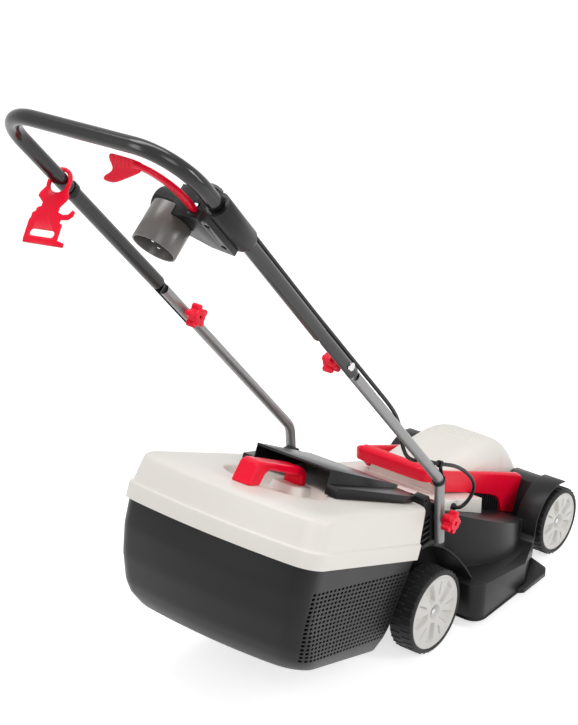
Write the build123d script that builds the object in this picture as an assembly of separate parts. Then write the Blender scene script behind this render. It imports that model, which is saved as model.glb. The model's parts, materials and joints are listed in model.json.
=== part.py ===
from build123d import *
import math
import os

os.makedirs("parts", exist_ok=True)

# Push lawn mower with a rear grass box and a folding two-part handle.
# X points to the walker's right, Y forward, Z up. Lengths are in millimetres.
# Pieces are drawn with Y = 0 at the rear axle and moved at the end, so that the origin lies under
# the middle of the whole mower.

# ---------------------------------------------------------------- clearances
GAP = 0.3            # resting gap between curved or separately held pieces
RUN = 0.05           # radial clearance of a shaft that turns in its bore
SLIDE = 0.15         # radial clearance of a bolt or rod in a plain hole

# ---------------------------------------------------------------- wheels
WHEELBASE = 448.0
REAR_WHEEL_R = 82.5
FRONT_WHEEL_R = 70.0
REAR_TYRE_WIDTH = 50.0
FRONT_TYRE_WIDTH = 43.0
REAR_WHEEL_FACE_X = 204.0
FRONT_WHEEL_FACE_X = 197.0
TYRE_WALL = 10.5
RIM_DISH = 7.0
RIM_WEB = 5.0
RIM_SHELL = 4.0
HUB_R = 15.0
HUB_BORE_MOUTH_R = 8.0
AXLE_R = 5.0
AXLE_CAP_R = 7.0
AXLE_CAP_LENGTH = 4.0
SPOKES = 10
SPOKE_WIDTH = 9.0

# ---------------------------------------------------------------- deck
DECK_WALL = 3.0
DRUM_R = 188.0
BLADE_Y = WHEELBASE - 193.0
DECK_BOTTOM_Z = 22.0
ROOF_SLOPE = 0.49
ROOF_Z_AT_BLADE = 151.0
TUNNEL_HALF_WIDTH = 135.0
TUNNEL_ROOF_Z = 226.0
MOUTH_TOP_Y = -22.0
MOUTH_TOP_Z = 206.0
MOUTH_LOW_Y = -96.0
MOUTH_LOW_Z = 98.0
RAMP_LOW_Y = 72.0
RAMP_LOW_Z = 42.0
RAMP_CREST_Y = 8.0
SKIRT_HALF_WIDTH = 233.0
SKIRT_REAR_Y = 98.0
SKIRT_FRONT_Y = WHEELBASE - FRONT_WHEEL_R - 22.0
SKIRT_TAPER_Y = SKIRT_FRONT_Y - 94.0
SKIRT_FRONT_HALF_WIDTH = 192.0
SKIRT_BOTTOM_Z = 18.0
SKIRT_REAR_TOP_Z = 96.0
SKIRT_FRONT_TOP_Z = 60.0
SKIRT_CORNER_R = 26.0
NOSE_HALF_WIDTH = 146.0
NOSE_REAR_Y = WHEELBASE - 32.0
NOSE_CREST_Z = 140.0
NOSE_CREST_Y = WHEELBASE + 20.0
NOSE_FRONT_Y = WHEELBASE + 74.0
NOSE_BOTTOM_Z = 42.0
REAR_ARCH_GAP = 32.0
FRONT_ARCH_GAP = 20.0
ARCH_THICK = 3.0
REAR_ARCH_OUTER_X = 205.0
REAR_ARCH_TOP_X = 156.0
REAR_ARCH_END = 106.0
FRONT_ARCH_OUTER_X = 190.0
MOTOR_POCKET_R = 72.0
MOTOR_SEAT_Z = 112.0

# ---------------------------------------------------------------- motor and blade
MOTOR_R = 60.0
MOTOR_HEIGHT = 98.0
MOTOR_SHELL = 2.5
STATOR_HEIGHT = 48.0
ROTOR_R = 30.0
SHAFT_R = 6.0
BEARING_R = 16.0
BEARING_HEIGHT = 10.0
FAN_R = 48.0
FAN_HEIGHT = 12.0
HOLDER_R = 42.0
HOLDER_HEIGHT = 26.0
BLADE_LENGTH = 320.0
BLADE_WIDTH = 46.0
BLADE_THICK = 3.0
BLADE_Z = 46.0
BLADE_BOLT_R = 4.0
BLADE_BOLT_HEAD_R = 8.0

# ---------------------------------------------------------------- hood, bow and rear cover
SHELL_WALL = 2.5
HOOD_REAR_Y = BLADE_Y - 87.0
HOOD_FRONT_Y = WHEELBASE + 60.0
HOOD_CROWN_Z = 247.0
HOOD_CROWN_Y = BLADE_Y + 32.0
HOOD_TAPER_Y = WHEELBASE - 68.0     # where the hood's sides start to draw in forwards
HOOD_REAR_DROP = 3.0     # how much lower the hood's rear edge is than its crown
HOOD_FOOT_Z = 112.0      # height of the front edge of the hood's brow
HOOD_FALL_POWER = 3.5    # how late and steeply the brow falls forwards
HOOD_SHOULDER_DROP = 34.0
HOOD_SHOULDER_POWER = 7.0
HOOD_HALF_WIDTH = 80.0
HOOD_FRONT_HALF_WIDTH = 62.0
BOW_GRIP_Y = 128.0
BOW_GRIP_DEPTH = 24.0
BOW_GRIP_TOP_Z = 285.0
BOW_GRIP_HEIGHT = 23.0
BOW_REAR_HALF_WIDTH = 88.0
BOW_FRONT_HALF_WIDTH = 106.0
BOW_FRONT_Y = WHEELBASE - 1.0
BOW_FRONT_TOP_Z = 150.0
GRIP_RIBS = 12
COVER_HALF_WIDTH = 127.0
COVER_CLEARANCE = 11.0    # between the rear cover and each handle bracket
COVER_REAR_Y = 24.0
COVER_TOP_Z = 256.0
SLATS = 13
SLAT_THICK = 2.4

# ---------------------------------------------------------------- handle
TUBE_X = 173.0
LOWER_TUBE_R = 9.55
LOWER_TUBE_WALL = 1.2
UPPER_TUBE_R = 12.5
UPPER_TUBE_WALL = 1.5
LEG_FOOT_Y = 49.0
LEG_FOOT_Z = 201.0
BEND_Y = 43.0
BEND_Z = 332.0
BEND_R = 42.0
HANDLE_ANGLE = 49.3
BEND_TO_FOLD = 444.7
LOWER_TUBE_PAST_FOLD = 80.0
FOLD_TO_BAR = 613.0
BAR_HALF_WIDTH = 184.0
BAR_CORNER_R = 82.0
SADDLE_BELOW_FOLD = 26.0
SADDLE_ABOVE_FOLD = 108.0
SADDLE_WALL = 2.2
SADDLE_LAP = 4.0        # how far the upper tube reaches down over the saddle's closed top
SADDLE_TOP_THICK = 6.0
DRAIN_R = 4.0           # drain hole from the upper tube into the saddle
CRIMP_X = 4.0
BOLT_R = 3.0
BOLT_HEAD_R = 7.0
BOLT_HEAD_HEIGHT = 3.5
BASE_BOLT_Y = 48.0
BASE_BOLT_Z = 250.0
KNOB_R = 22.0
KNOB_THICK = 20.0
KNOB_LOBES = 5
KNOB_NECK = 6.0
BRACKET_REAR_Y = 6.0
BRACKET_FRONT_Y = 70.0
BRACKET_TOP_Z = 284.0
BRACKET_INNER_X = COVER_HALF_WIDTH + COVER_CLEARANCE
BRACKET_RIBS = 5
EAR_R = 6.0

# ---------------------------------------------------------------- grass box
BOX_TILT = 24.0
BOX_FRONT_Y = -31.0
BOX_RIM_Z = 200.0
BOX_FRONT_HALF_WIDTH = 180.0
BOX_REAR_HALF_WIDTH = 218.0
BOX_LENGTH = 416.0
BOX_BULGE = 24.0
BOX_CORNER_R = 44.0
BOX_FRONT_DEPTH = 190.0
BOX_REAR_DEPTH = 197.0
BOX_WALL = 2.5
LID_SKIRT = 29.0
TUB_INSET = 6.0
PAD_DROP = 4.0
BOX_MOUTH_HALF_WIDTH = 128.0
BOX_MOUTH_LOW_W = -118.0
BOX_MOUTH_HIGH_W = -5.0
LID_REAR_HEIGHT = 84.0
LID_FRONT_HEIGHT = 98.0
HOOK_X = 75.0
HOOK_WIDTH = 30.0
HOOK_LENGTH = 16.0
HOOK_THICK = 4.0
HOOK_W = 36.0
RIM_W = 12.0
BOX_HANDLE_LENGTH = 172.0
BOX_HANDLE_HEIGHT = 44.0
BOX_HANDLE_WIDTH = 40.0
BOX_HANDLE_THICK = 15.0
BOX_HANDLE_REAR_V = -348.0

# ---------------------------------------------------------------- rear flap
FLAP_HINGE_Y = 16.0
FLAP_HINGE_Z = 294.5
FLAP_ROD_R = 3.0
FLAP_WALL = 3.0
FLAP_REAR_V = -206.0
FLAP_SHOULDER_W = 112.0
FLAP_RAISED_W = 138.0
FLAP_RAISED_HALF_WIDTH = 83.0
FLAP_REAR_HALF_WIDTH = 108.0
FLAP_FRONT_HALF_WIDTH = 150.0
FLAP_RAISED_FRONT_HALF_WIDTH = 100.0
FLAP_RAISED_FRONT_W = 118.0
FLAP_FRONT_V = 0.0
FLAP_WING_FRONT_V = -18.0
FLAP_BARREL_END_X = BRACKET_INNER_X - 1.0
LID_GAP = 2.0

# ---------------------------------------------------------------- switch unit
HOUSING_LOW_S = 394.0
HOUSING_HIGH_S = 490.0
HOUSING_R = 21.0
INLET_X = 90.0
INLET_S = 455.0
COLLAR_R = 36.0
COLLAR_WALL = 2.5
COLLAR_REACH = 78.0
BARREL_R = 27.0
BARREL_END_X = 56.0
PIN_R = 2.4
PIN_LENGTH = 19.0
PIN_PITCH = 19.0
PIN_ROOT_R = 2.0         # narrower root of a pin, held in the inlet's floor
LEVER_PIVOT_S = 470.0
LEVER_DEPTH = 16.0
LEVER_THICK = 9.0
LEVER_X = 148.0
LEVER_WIDTH = 13.0
LEVER_PIN_R = 2.5
LEVER_HUB_R = 7.0
PADDLE_S = 597.0
PADDLE_INNER_X = 28.0
PADDLE_OUTER_X = 88.0
BUTTON_R = 12.0
BUTTON_X = 148.0
BUTTON_S = 470.0
BUTTON_TOP_DEPTH = 34.0
BELLY_INNER_X = 100.0
BELLY_KNEE_X = 140.0
BELLY_DEPTH = 30.0
BARREL_DEPTH = 6.0
HOUSING_OUTER_X = 180.0
PARTING_X = 164.0
COLLAR_START = 14.0
INLET_FLOOR = 49.0
INLET_FLOOR_THICK = 4.0
SCREW_R = 2.0
SCREW_HEAD_R = 3.8
SCREW_HEAD_DEPTH = 17.0

# ---------------------------------------------------------------- lead hook
HANG_S = 420.0
HOOK_YAW = 16.0
HOOK_LEAN = 43.0
HOOK_PLATE = 4.0
HOOK_HOLE_HALF_WIDTH = 14.0
HOOK_HOLE_HEIGHT = 36.6
HOOK_HOLE_TOP = 1.5
HOOK_RIM = 6.5

# ---------------------------------------------------------------- mains lead
CABLE_R = 3.6
CABLE_OFF = UPPER_TUBE_R + CABLE_R + 0.6
GLAND_R = 7.5
GLAND_Y = 160.0
GLAND_Z = 208.0


# ---------------------------------------------------------------- drawing helpers
def prism_yz(points, x_low, x_high):
    """Straight bar with the given side view (y, z), from x_low to x_high."""
    face = make_face(Polyline(*points, close=True))
    return extrude(Plane.YZ.offset(x_low) * face, amount=x_high - x_low)


def block(x_low, x_high, y_low, y_high, z_low, z_high):
    """Box given by its faces."""
    middle = Pos((x_low + x_high) / 2, (y_low + y_high) / 2, (z_low + z_high) / 2)
    return middle * Box(x_high - x_low, y_high - y_low, z_high - z_low)


def disc(radius, z_low, z_high):
    """Upright cylinder on the local Z axis, given by its end heights."""
    return Pos(0, 0, (z_low + z_high) / 2) * Cylinder(radius, z_high - z_low)


def cross_bar(radius, x_low, x_high, y, z):
    """Cylinder along X, given by its ends."""
    turned = Rot(0, 90, 0) * Cylinder(radius, x_high - x_low)
    return Pos((x_low + x_high) / 2, y, z) * turned


def mirrored(shape):
    """The same piece on the other side of the mower."""
    return mirror(shape, about=Plane.YZ)


def both_sides(shape):
    return [shape, mirrored(shape)]


solids = {}


def keep(name, *shapes):
    """Store a node made of one or more separate solids."""
    found = []
    for shape in shapes:
        found.extend(shape.solids())
    solids[name] = found


# ---------------------------------------------------------------- frames of reference
FOLD_Y = BEND_Y - BEND_TO_FOLD * math.cos(math.radians(HANDLE_ANGLE))
FOLD_Z = BEND_Z + BEND_TO_FOLD * math.sin(math.radians(HANDLE_ANGLE))
HANDLE_UP = (0, -math.cos(math.radians(HANDLE_ANGLE)), math.sin(math.radians(HANDLE_ANGLE)))
HANDLE_BACK = (0, -math.sin(math.radians(HANDLE_ANGLE)), -math.cos(math.radians(HANDLE_ANGLE)))
# Handle frame: x across, y up along the tubes from the fold bolts, z away from the tubes, down
# and back towards the walker.
HANDLE = Plane(origin=(0, FOLD_Y, FOLD_Z), x_dir=(1, 0, 0), z_dir=HANDLE_BACK)

TILT = math.radians(BOX_TILT)
# Box frame: x across, y forward along the rim, z out of the rim upwards.
BOX = Plane(origin=(0, BOX_FRONT_Y, BOX_RIM_Z), x_dir=(1, 0, 0), z_dir=(0, math.sin(TILT), math.cos(TILT)))


def roof_z(y):
    """Height of the deck's sloping roof."""
    return ROOF_Z_AT_BLADE - ROOF_SLOPE * (y - BLADE_Y)


def roof_y(z):
    return BLADE_Y + (ROOF_Z_AT_BLADE - z) / ROOF_SLOPE


ROOF_LEAN = math.hypot(1, ROOF_SLOPE)
LID_SLOPE = (LID_FRONT_HEIGHT - LID_REAR_HEIGHT) / BOX_LENGTH


def lid_top_w(v):
    """Height of the lid's top plane in the box frame."""
    return LID_FRONT_HEIGHT + LID_SLOPE * v


def hook_low_w(v):
    """Underside of the box hooks, parallel to the lid's top and so to the way out."""
    return HOOK_W + LID_SLOPE * v


# ---------------------------------------------------------------- wheels
def wheel_tyre(radius, width):
    ring = disc(radius, -width, 0) - disc(radius - TYRE_WALL, -width - 1, 1)
    outer = ring.edges().filter_by(GeomType.CIRCLE).sort_by(SortBy.RADIUS)[-2:]
    return fillet(outer, TYRE_WALL * 0.45)


def wheel_rim(radius, width, bore_r):
    """Rim with a dished web, raised spokes, a hub and a deep bore mouth; outer face at z = 0."""
    rim_r = radius - TYRE_WALL - RUN
    barrel = disc(rim_r, -width + 1, -1) - disc(rim_r - RIM_SHELL, -width, 1)
    web = disc(rim_r - RIM_SHELL / 2, -RIM_DISH - RIM_WEB, -RIM_DISH)
    hub = disc(HUB_R, -width + 1, -2)
    spoke_length = rim_r - RIM_SHELL / 2 - HUB_R / 2
    spoke = Pos(HUB_R / 2 + spoke_length / 2, 0, -RIM_DISH / 2 - 1) * Box(
        spoke_length, SPOKE_WIDTH, RIM_DISH - 2 + RIM_WEB / 2)
    rim = barrel + web + hub
    for turn in range(SPOKES):
        rim += Rot(0, 0, 360 * turn / SPOKES) * spoke
    rim -= disc(bore_r, -width - 1, 1)
    return rim - disc(HUB_BORE_MOUTH_R, -AXLE_CAP_LENGTH - 2 - RIM_WEB, 1)


def place_wheel(shape, side, face_x, y, z):
    return Pos(side * face_x, y, z) * (Rot(0, 90 * side, 0) * shape)


axle_caps = []
for end, wheel_r, width, face_x, wheel_y in (
        ("rear", REAR_WHEEL_R, REAR_TYRE_WIDTH, REAR_WHEEL_FACE_X, 0.0),
        ("front", FRONT_WHEEL_R, FRONT_TYRE_WIDTH, FRONT_WHEEL_FACE_X, WHEELBASE)):
    tyre = wheel_tyre(wheel_r, width)
    rim = wheel_rim(wheel_r, width, AXLE_R + RUN)
    cap_outer = face_x - RIM_WEB - 1
    cap_inner = cap_outer - AXLE_CAP_LENGTH
    for side, side_name in ((1, "right"), (-1, "left")):
        keep(f"{end}_tyre_{side_name}", place_wheel(tyre, side, face_x, wheel_y, wheel_r))
        keep(f"{end}_rim_{side_name}", place_wheel(rim, side, face_x, wheel_y, wheel_r))
    rod = cross_bar(AXLE_R, -cap_outer, cap_outer, wheel_y, wheel_r)
    keep(f"{end}_axle", rod)
    cap = cross_bar(AXLE_CAP_R, cap_inner, cap_outer, wheel_y, wheel_r)
    cap -= cross_bar(AXLE_R + RUN, cap_inner - 1, cap_outer + 1, wheel_y, wheel_r)
    axle_caps.extend(both_sides(cap))
keep("axle_caps", *axle_caps)


# ---------------------------------------------------------------- deck
def drum_form(inset):
    """Blade drum under the sloping roof; inset gives its hollow."""
    low = DECK_BOTTOM_Z - 30 * (inset > 0)
    y_rear = BLADE_Y - DRUM_R - 5
    y_front = BLADE_Y + DRUM_R + 5
    lean = inset * ROOF_LEAN
    side = [(y_rear, low), (y_rear, TUNNEL_ROOF_Z - inset),
            (roof_y(TUNNEL_ROOF_Z - inset + lean), TUNNEL_ROOF_Z - inset),
            (y_front, roof_z(y_front) - lean), (y_front, low)]
    plan = Pos(0, BLADE_Y, 0) * disc(DRUM_R - inset, low, TUNNEL_ROOF_Z + 5)
    return plan & prism_yz(side, -DRUM_R - 5, DRUM_R + 5)


RAMP_CREST_Z = REAR_WHEEL_R + AXLE_R + 2.5 + DECK_WALL


def tunnel_form(inset):
    """Discharge tunnel from the drum to the rear mouth."""
    join_y = BLADE_Y - DRUM_R * 0.55
    floor = [(join_y, RAMP_LOW_Z), (RAMP_LOW_Y, RAMP_LOW_Z), (RAMP_CREST_Y, RAMP_CREST_Z),
             (MOUTH_LOW_Y, MOUTH_LOW_Z)]
    drop = DECK_WALL - inset
    floor = [(y, z - drop) for y, z in floor]
    lean = inset * ROOF_LEAN
    knee_y = roof_y(TUNNEL_ROOF_Z - inset + lean)
    roof = [(MOUTH_TOP_Y, MOUTH_TOP_Z - inset), (MOUTH_TOP_Y + 72, TUNNEL_ROOF_Z - inset),
            (knee_y, TUNNEL_ROOF_Z - inset), (join_y, roof_z(join_y) - lean)]
    if inset:
        roof.insert(0, (MOUTH_TOP_Y - 20, MOUTH_TOP_Z - inset))
        floor.append((MOUTH_LOW_Y - 20, MOUTH_LOW_Z))
    half = TUNNEL_HALF_WIDTH - inset
    return prism_yz(floor + roof, -half, half)


def skirt_form(inset):
    """Wide skirt around the drum."""
    half = SKIRT_HALF_WIDTH - inset
    front_half = SKIRT_FRONT_HALF_WIDTH - inset
    rear = SKIRT_REAR_Y + inset
    front = SKIRT_FRONT_Y - inset
    outline = [(-half, rear), (half, rear), (half, SKIRT_TAPER_Y), (front_half, front),
               (-front_half, front), (-half, SKIRT_TAPER_Y)]
    plan = make_face(Polyline(*outline, close=True))
    rear_corners = plan.vertices().sort_by(Axis.Y)[:2]
    plan = fillet(rear_corners, SKIRT_CORNER_R - inset)
    low = SKIRT_BOTTOM_Z - 30 * (inset > 0)
    side = [(rear - 5, low), (rear - 5, SKIRT_REAR_TOP_Z - inset), (SKIRT_REAR_Y + 20, SKIRT_REAR_TOP_Z - inset),
            (front + 5, SKIRT_FRONT_TOP_Z - inset), (front + 5, low)]
    body = Pos(0, 0, low) * extrude(plan, amount=SKIRT_REAR_TOP_Z + 40)
    return body & prism_yz(side, -half - 5, half + 5)


NOSE_LEAN = (BOW_FRONT_Y - NOSE_REAR_Y) / (BOW_FRONT_TOP_Z - roof_z(NOSE_REAR_Y))


def nose_form(inset):
    """Front bridge between the front wheels."""
    low = NOSE_BOTTOM_Z - 30 * (inset > 0)
    crest_rear = NOSE_REAR_Y + NOSE_LEAN * (NOSE_CREST_Z - roof_z(NOSE_REAR_Y))
    side = [(NOSE_REAR_Y + inset, low), (NOSE_REAR_Y + inset, roof_z(NOSE_REAR_Y)),
            (crest_rear + inset, NOSE_CREST_Z - inset), (NOSE_CREST_Y, NOSE_CREST_Z - inset),
            (NOSE_CREST_Y + 26, NOSE_CREST_Z - 9 - inset), (NOSE_FRONT_Y - 10 - inset, NOSE_CREST_Z - 32),
            (NOSE_FRONT_Y - inset, NOSE_CREST_Z - 62), (NOSE_FRONT_Y - inset, low)]
    half = NOSE_HALF_WIDTH - inset
    return prism_yz(side, -half, half)


def arch_band(radius, y, z, x_low, x_high, first, last):
    """Part of a ring round a wheel, between two angles counted from the front horizontal."""
    outer = radius + ARCH_THICK
    ring = cross_bar(outer, x_low, x_high, y, z) - cross_bar(radius, x_low - 1, x_high + 1, y, z)
    reach = outer * 3
    corners = [(y, z)]
    steps = 4
    for i in range(steps + 1):
        angle = math.radians(first + (last - first) * i / steps)
        corners.append((y + reach * math.cos(angle), z + reach * math.sin(angle)))
    return ring & prism_yz(corners, x_low, x_high)


def hood_form(inset, grow=0.0):
    """Domed motor hood; inset gives its hollow and grow a hole that it passes through."""
    off = inset - grow
    rear = HOOD_REAR_Y + off
    front = HOOD_FRONT_Y - off
    crown = HOOD_CROWN_Z - off
    seat_z = PLINTH_TOP_Z + GAP
    low = (roof_z(rear) + GAP * ROOF_LEAN, seat_z)
    if off:
        low = (low[0] - 40, seat_z - 40)
    fall = crown - HOOD_FOOT_Z
    brow = [(HOOD_CROWN_Y + (front - HOOD_CROWN_Y) * t, crown - fall * t ** HOOD_FALL_POWER)
            for t in (0, 0.25, 0.45, 0.6, 0.72, 0.83, 0.92, 1.0)]
    side = (Line((rear, low[0]), (rear, crown - HOOD_REAR_DROP))
            + Line((rear, crown - HOOD_REAR_DROP), (HOOD_CROWN_Y, crown)) + Polyline(*brow)
            + Line(brow[-1], (front, low[1]))
            + Line((front, low[1]), (roof_y(seat_z), low[1]))
            + Line((roof_y(seat_z), low[1]), (rear, low[0])))
    half = HOOD_HALF_WIDTH - off
    across = extrude(Plane.YZ.offset(-half - 5) * make_face(side), amount=2 * half + 10)
    shoulder = [(share * half, crown - HOOD_SHOULDER_DROP * abs(share) ** HOOD_SHOULDER_POWER)
                for share in (-1, -0.94, -0.85, -0.7, -0.4, 0, 0.4, 0.7, 0.85, 0.94, 1)]
    view = Polyline((-half, 0), *shoulder, (half, 0), close=True)
    along = extrude(Plane.XZ.offset(-front - 5) * make_face(view), amount=front - rear + 10)
    front_half = HOOD_FRONT_HALF_WIDTH - off
    outline = [(-half, rear - 5), (half, rear - 5), (half, HOOD_TAPER_Y), (front_half, front),
               (-front_half, front), (-half, HOOD_TAPER_Y)]
    plan = extrude(make_face(Polyline(*outline, close=True)), amount=crown + 20)
    return across & along & plan


PLINTH_TOP_Z = 89.0
PLINTH_HALF_WIDTH = HOOD_HALF_WIDTH + 4

deck = drum_form(0) + tunnel_form(0)
deck += skirt_form(0) - skirt_form(DECK_WALL)
nose_shell = nose_form(0) - nose_form(DECK_WALL)
nose_shell += block(-PLINTH_HALF_WIDTH, PLINTH_HALF_WIDTH, roof_y(PLINTH_TOP_Z), NOSE_FRONT_Y - 1,
                    PLINTH_TOP_Z - DECK_WALL, PLINTH_TOP_Z)
deck += nose_shell
deck += block(-PLINTH_HALF_WIDTH, PLINTH_HALF_WIDTH, roof_y(PLINTH_TOP_Z), NOSE_REAR_Y + DECK_WALL,
              roof_z(NOSE_REAR_Y) - DECK_WALL, PLINTH_TOP_Z)
rear_arch_r = REAR_WHEEL_R + REAR_ARCH_GAP
front_arch_r = FRONT_WHEEL_R + FRONT_ARCH_GAP
rear_arch = arch_band(rear_arch_r, 0, REAR_WHEEL_R, TUNNEL_HALF_WIDTH - 1, REAR_ARCH_OUTER_X, -20, REAR_ARCH_END)
edge_low_z = REAR_WHEEL_R + 20
edge_high_z = REAR_WHEEL_R + rear_arch_r + ARCH_THICK
edge_slope = (REAR_ARCH_OUTER_X - REAR_ARCH_TOP_X) / (edge_high_z - edge_low_z)
trim_side = [(REAR_ARCH_OUTER_X, edge_low_z), (REAR_ARCH_OUTER_X + 60, edge_low_z),
             (REAR_ARCH_OUTER_X + 60, edge_high_z + 20), (REAR_ARCH_TOP_X - 20 * edge_slope, edge_high_z + 20)]
trim_face = Plane.XZ.offset(-300) * make_face(Polyline(*trim_side, close=True))
rear_arch -= extrude(trim_face, amount=600)
front_arch = arch_band(front_arch_r, WHEELBASE, FRONT_WHEEL_R, NOSE_HALF_WIDTH - DECK_WALL,
                       FRONT_ARCH_OUTER_X, 48, 180)
front_plate_y = WHEELBASE - front_arch_r - ARCH_THICK
front_arch += block(NOSE_HALF_WIDTH - 6, FRONT_ARCH_OUTER_X, front_plate_y, front_plate_y + ARCH_THICK,
                    DECK_BOTTOM_Z, FRONT_WHEEL_R)
shelf = block(TUNNEL_HALF_WIDTH - 1, TUBE_X - LOWER_TUBE_R - GAP, BRACKET_REAR_Y, BRACKET_FRONT_Y,
              REAR_WHEEL_R + rear_arch_r * 0.75, LEG_FOOT_Z)
shelf -= cross_bar(rear_arch_r + 1, 0, 300, 0, REAR_WHEEL_R)
ledge = BOX.location * block(HOOK_X - HOOK_WIDTH / 2 - 5, HOOK_X + HOOK_WIDTH / 2 + 5, 7, HOOK_LENGTH - 1, 8,
                             HOOK_W + 1)
ledge &= BOX.location * prism_yz([(0, 0), (30, 0), (30, hook_low_w(30) - GAP), (0, hook_low_w(0) - GAP)], 0, 200)
axle_boss = block(TUNNEL_HALF_WIDTH - DECK_WALL, REAR_WHEEL_FACE_X - REAR_TYRE_WIDTH - 4, -16, 16,
                  REAR_WHEEL_R - 16, RAMP_CREST_Z + 4)
nose_boss = cross_bar(13, NOSE_HALF_WIDTH - 14, FRONT_WHEEL_FACE_X - FRONT_TYRE_WIDTH - 3, WHEELBASE,
                      FRONT_WHEEL_R)
for piece in (rear_arch, front_arch, shelf, ledge, axle_boss, nose_boss):
    deck += piece
    deck += mirrored(piece)
hollow = drum_form(DECK_WALL) + tunnel_form(DECK_WALL)
pocket_floor = MOTOR_SEAT_Z - DECK_WALL
pillar = Pos(0, BLADE_Y, 0) * disc(MOTOR_POCKET_R + DECK_WALL, pocket_floor, TUNNEL_ROOF_Z)
deck -= hollow - pillar
deck -= Pos(0, BLADE_Y, 0) * disc(MOTOR_POCKET_R, MOTOR_SEAT_Z, TUNNEL_ROOF_Z + 20)
deck -= Pos(0, BLADE_Y, 0) * disc(SHAFT_R + 4, 0, TUNNEL_ROOF_Z)
hood_slot = hood_form(0, grow=GAP + 0.2)
deck -= hood_slot & block(-NOSE_HALF_WIDTH, NOSE_HALF_WIDTH, roof_y(PLINTH_TOP_Z), NOSE_FRONT_Y + 5,
                          PLINTH_TOP_Z, HOOD_CROWN_Z)
deck -= cross_bar(AXLE_R + SLIDE, -300, 300, 0, REAR_WHEEL_R)
deck -= cross_bar(AXLE_R + SLIDE, -300, 300, WHEELBASE, FRONT_WHEEL_R)
keep("deck_housing", deck)

# Lawn combs: runners beside the front end of the skirt.
COMB_X = 243.0
COMB_REAR_Y = 236.0
COMB_FRONT_Y = 338.0
COMB_HEIGHT = 26.0
taper = (SKIRT_HALF_WIDTH - SKIRT_FRONT_HALF_WIDTH) / (SKIRT_FRONT_Y - SKIRT_TAPER_Y)
comb_inner_front_x = SKIRT_HALF_WIDTH + GAP - taper * (COMB_FRONT_Y - SKIRT_TAPER_Y)
comb_plan = [(SKIRT_HALF_WIDTH + GAP, COMB_REAR_Y), (COMB_X, COMB_REAR_Y + 10), (COMB_X, COMB_FRONT_Y - 14),
             (COMB_X - 8, COMB_FRONT_Y), (comb_inner_front_x, COMB_FRONT_Y),
             (SKIRT_HALF_WIDTH + GAP, SKIRT_TAPER_Y)]
comb = Pos(0, 0, SKIRT_BOTTOM_Z) * extrude(make_face(Polyline(*comb_plan, close=True)), amount=COMB_HEIGHT)
keep("lawn_comb_right", comb)
keep("lawn_comb_left", mirrored(comb))


# ---------------------------------------------------------------- motor and cutter
def at_blade(shape):
    return Pos(0, BLADE_Y, 0) * shape


motor_top = MOTOR_SEAT_Z + MOTOR_HEIGHT
can = disc(MOTOR_R, MOTOR_SEAT_Z, motor_top)
can -= disc(MOTOR_R - MOTOR_SHELL, MOTOR_SEAT_Z + MOTOR_SHELL, motor_top - MOTOR_SHELL)
bearing_low = MOTOR_SEAT_Z + MOTOR_SHELL
bearing_high = motor_top - MOTOR_SHELL - BEARING_HEIGHT
for low in (bearing_low, bearing_high):
    can += disc(BEARING_R + 4, low, low + BEARING_HEIGHT) - disc(BEARING_R + RUN, low - 1, low + BEARING_HEIGHT + 1)
can -= disc(SHAFT_R + 3, 0, MOTOR_SEAT_Z + 10)
vent = Pos(MOTOR_R, 0, MOTOR_SEAT_Z + MOTOR_HEIGHT * 0.25) * Box(20, 10, 14)
for turn in range(8):
    can -= Rot(0, 0, 45 * turn + 22.5) * vent
keep("motor_can", at_blade(can))
bearing = disc(BEARING_R, 0, BEARING_HEIGHT) - disc(SHAFT_R + RUN, -1, BEARING_HEIGHT + 1)
keep("motor_bearings", at_blade(Pos(0, 0, bearing_low) * bearing), at_blade(Pos(0, 0, bearing_high) * bearing))
core_low = motor_top - MOTOR_SHELL - BEARING_HEIGHT - 6 - STATOR_HEIGHT
stator = disc(MOTOR_R - MOTOR_SHELL - GAP, core_low, core_low + STATOR_HEIGHT)
stator -= disc(ROTOR_R + 1, core_low - 1, core_low + STATOR_HEIGHT + 1)
keep("motor_stator", at_blade(stator))
rotor = disc(ROTOR_R, core_low, core_low + STATOR_HEIGHT) - disc(SHAFT_R, core_low - 1, motor_top)
keep("rotor", at_blade(rotor))
blade_top = BLADE_Z + BLADE_THICK
shaft = disc(SHAFT_R, blade_top + 2, bearing_high + BEARING_HEIGHT - 1)
shaft -= disc(BLADE_BOLT_R, 0, blade_top + 27)
keep("motor_shaft", at_blade(shaft))
fan_low = core_low - 4 - FAN_HEIGHT
fan = disc(14, fan_low, fan_low + FAN_HEIGHT) + disc(FAN_R, fan_low, fan_low + 2)
vane = Pos(FAN_R / 2 + 5, 0, fan_low + FAN_HEIGHT / 2) * Box(FAN_R - 12, 2, FAN_HEIGHT)
for turn in range(10):
    fan += Rot(0, 0, 36 * turn) * vane
fan -= disc(SHAFT_R, 0, motor_top)
keep("cooling_fan", at_blade(fan))
holder = disc(HOLDER_R, blade_top, blade_top + 8) + disc(HOLDER_R / 2, blade_top, blade_top + HOLDER_HEIGHT)
web = Pos(0, 0, blade_top + 14) * Box(HOLDER_R * 1.7, 4, 12)
for turn in range(3):
    holder += Rot(0, 0, 60 * turn) * web
holder -= disc(SHAFT_R, 0, motor_top)
keep("blade_holder", at_blade(holder))
half_blade = BLADE_LENGTH / 2
blade = Pos(0, 0, BLADE_Z + BLADE_THICK / 2) * Box(BLADE_LENGTH, BLADE_WIDTH, BLADE_THICK)
wing = [(-BLADE_WIDTH / 2, BLADE_Z), (-BLADE_WIDTH / 2 - 1, BLADE_Z + 14), (-BLADE_WIDTH / 2 + 2, BLADE_Z + 14),
        (-BLADE_WIDTH / 2 + 3, BLADE_Z)]
wing = prism_yz(wing, half_blade - 60, half_blade - 8)
blade += wing
blade += Rot(0, 0, 180) * wing
blade -= disc(BLADE_BOLT_R, 0, 100)
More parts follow.
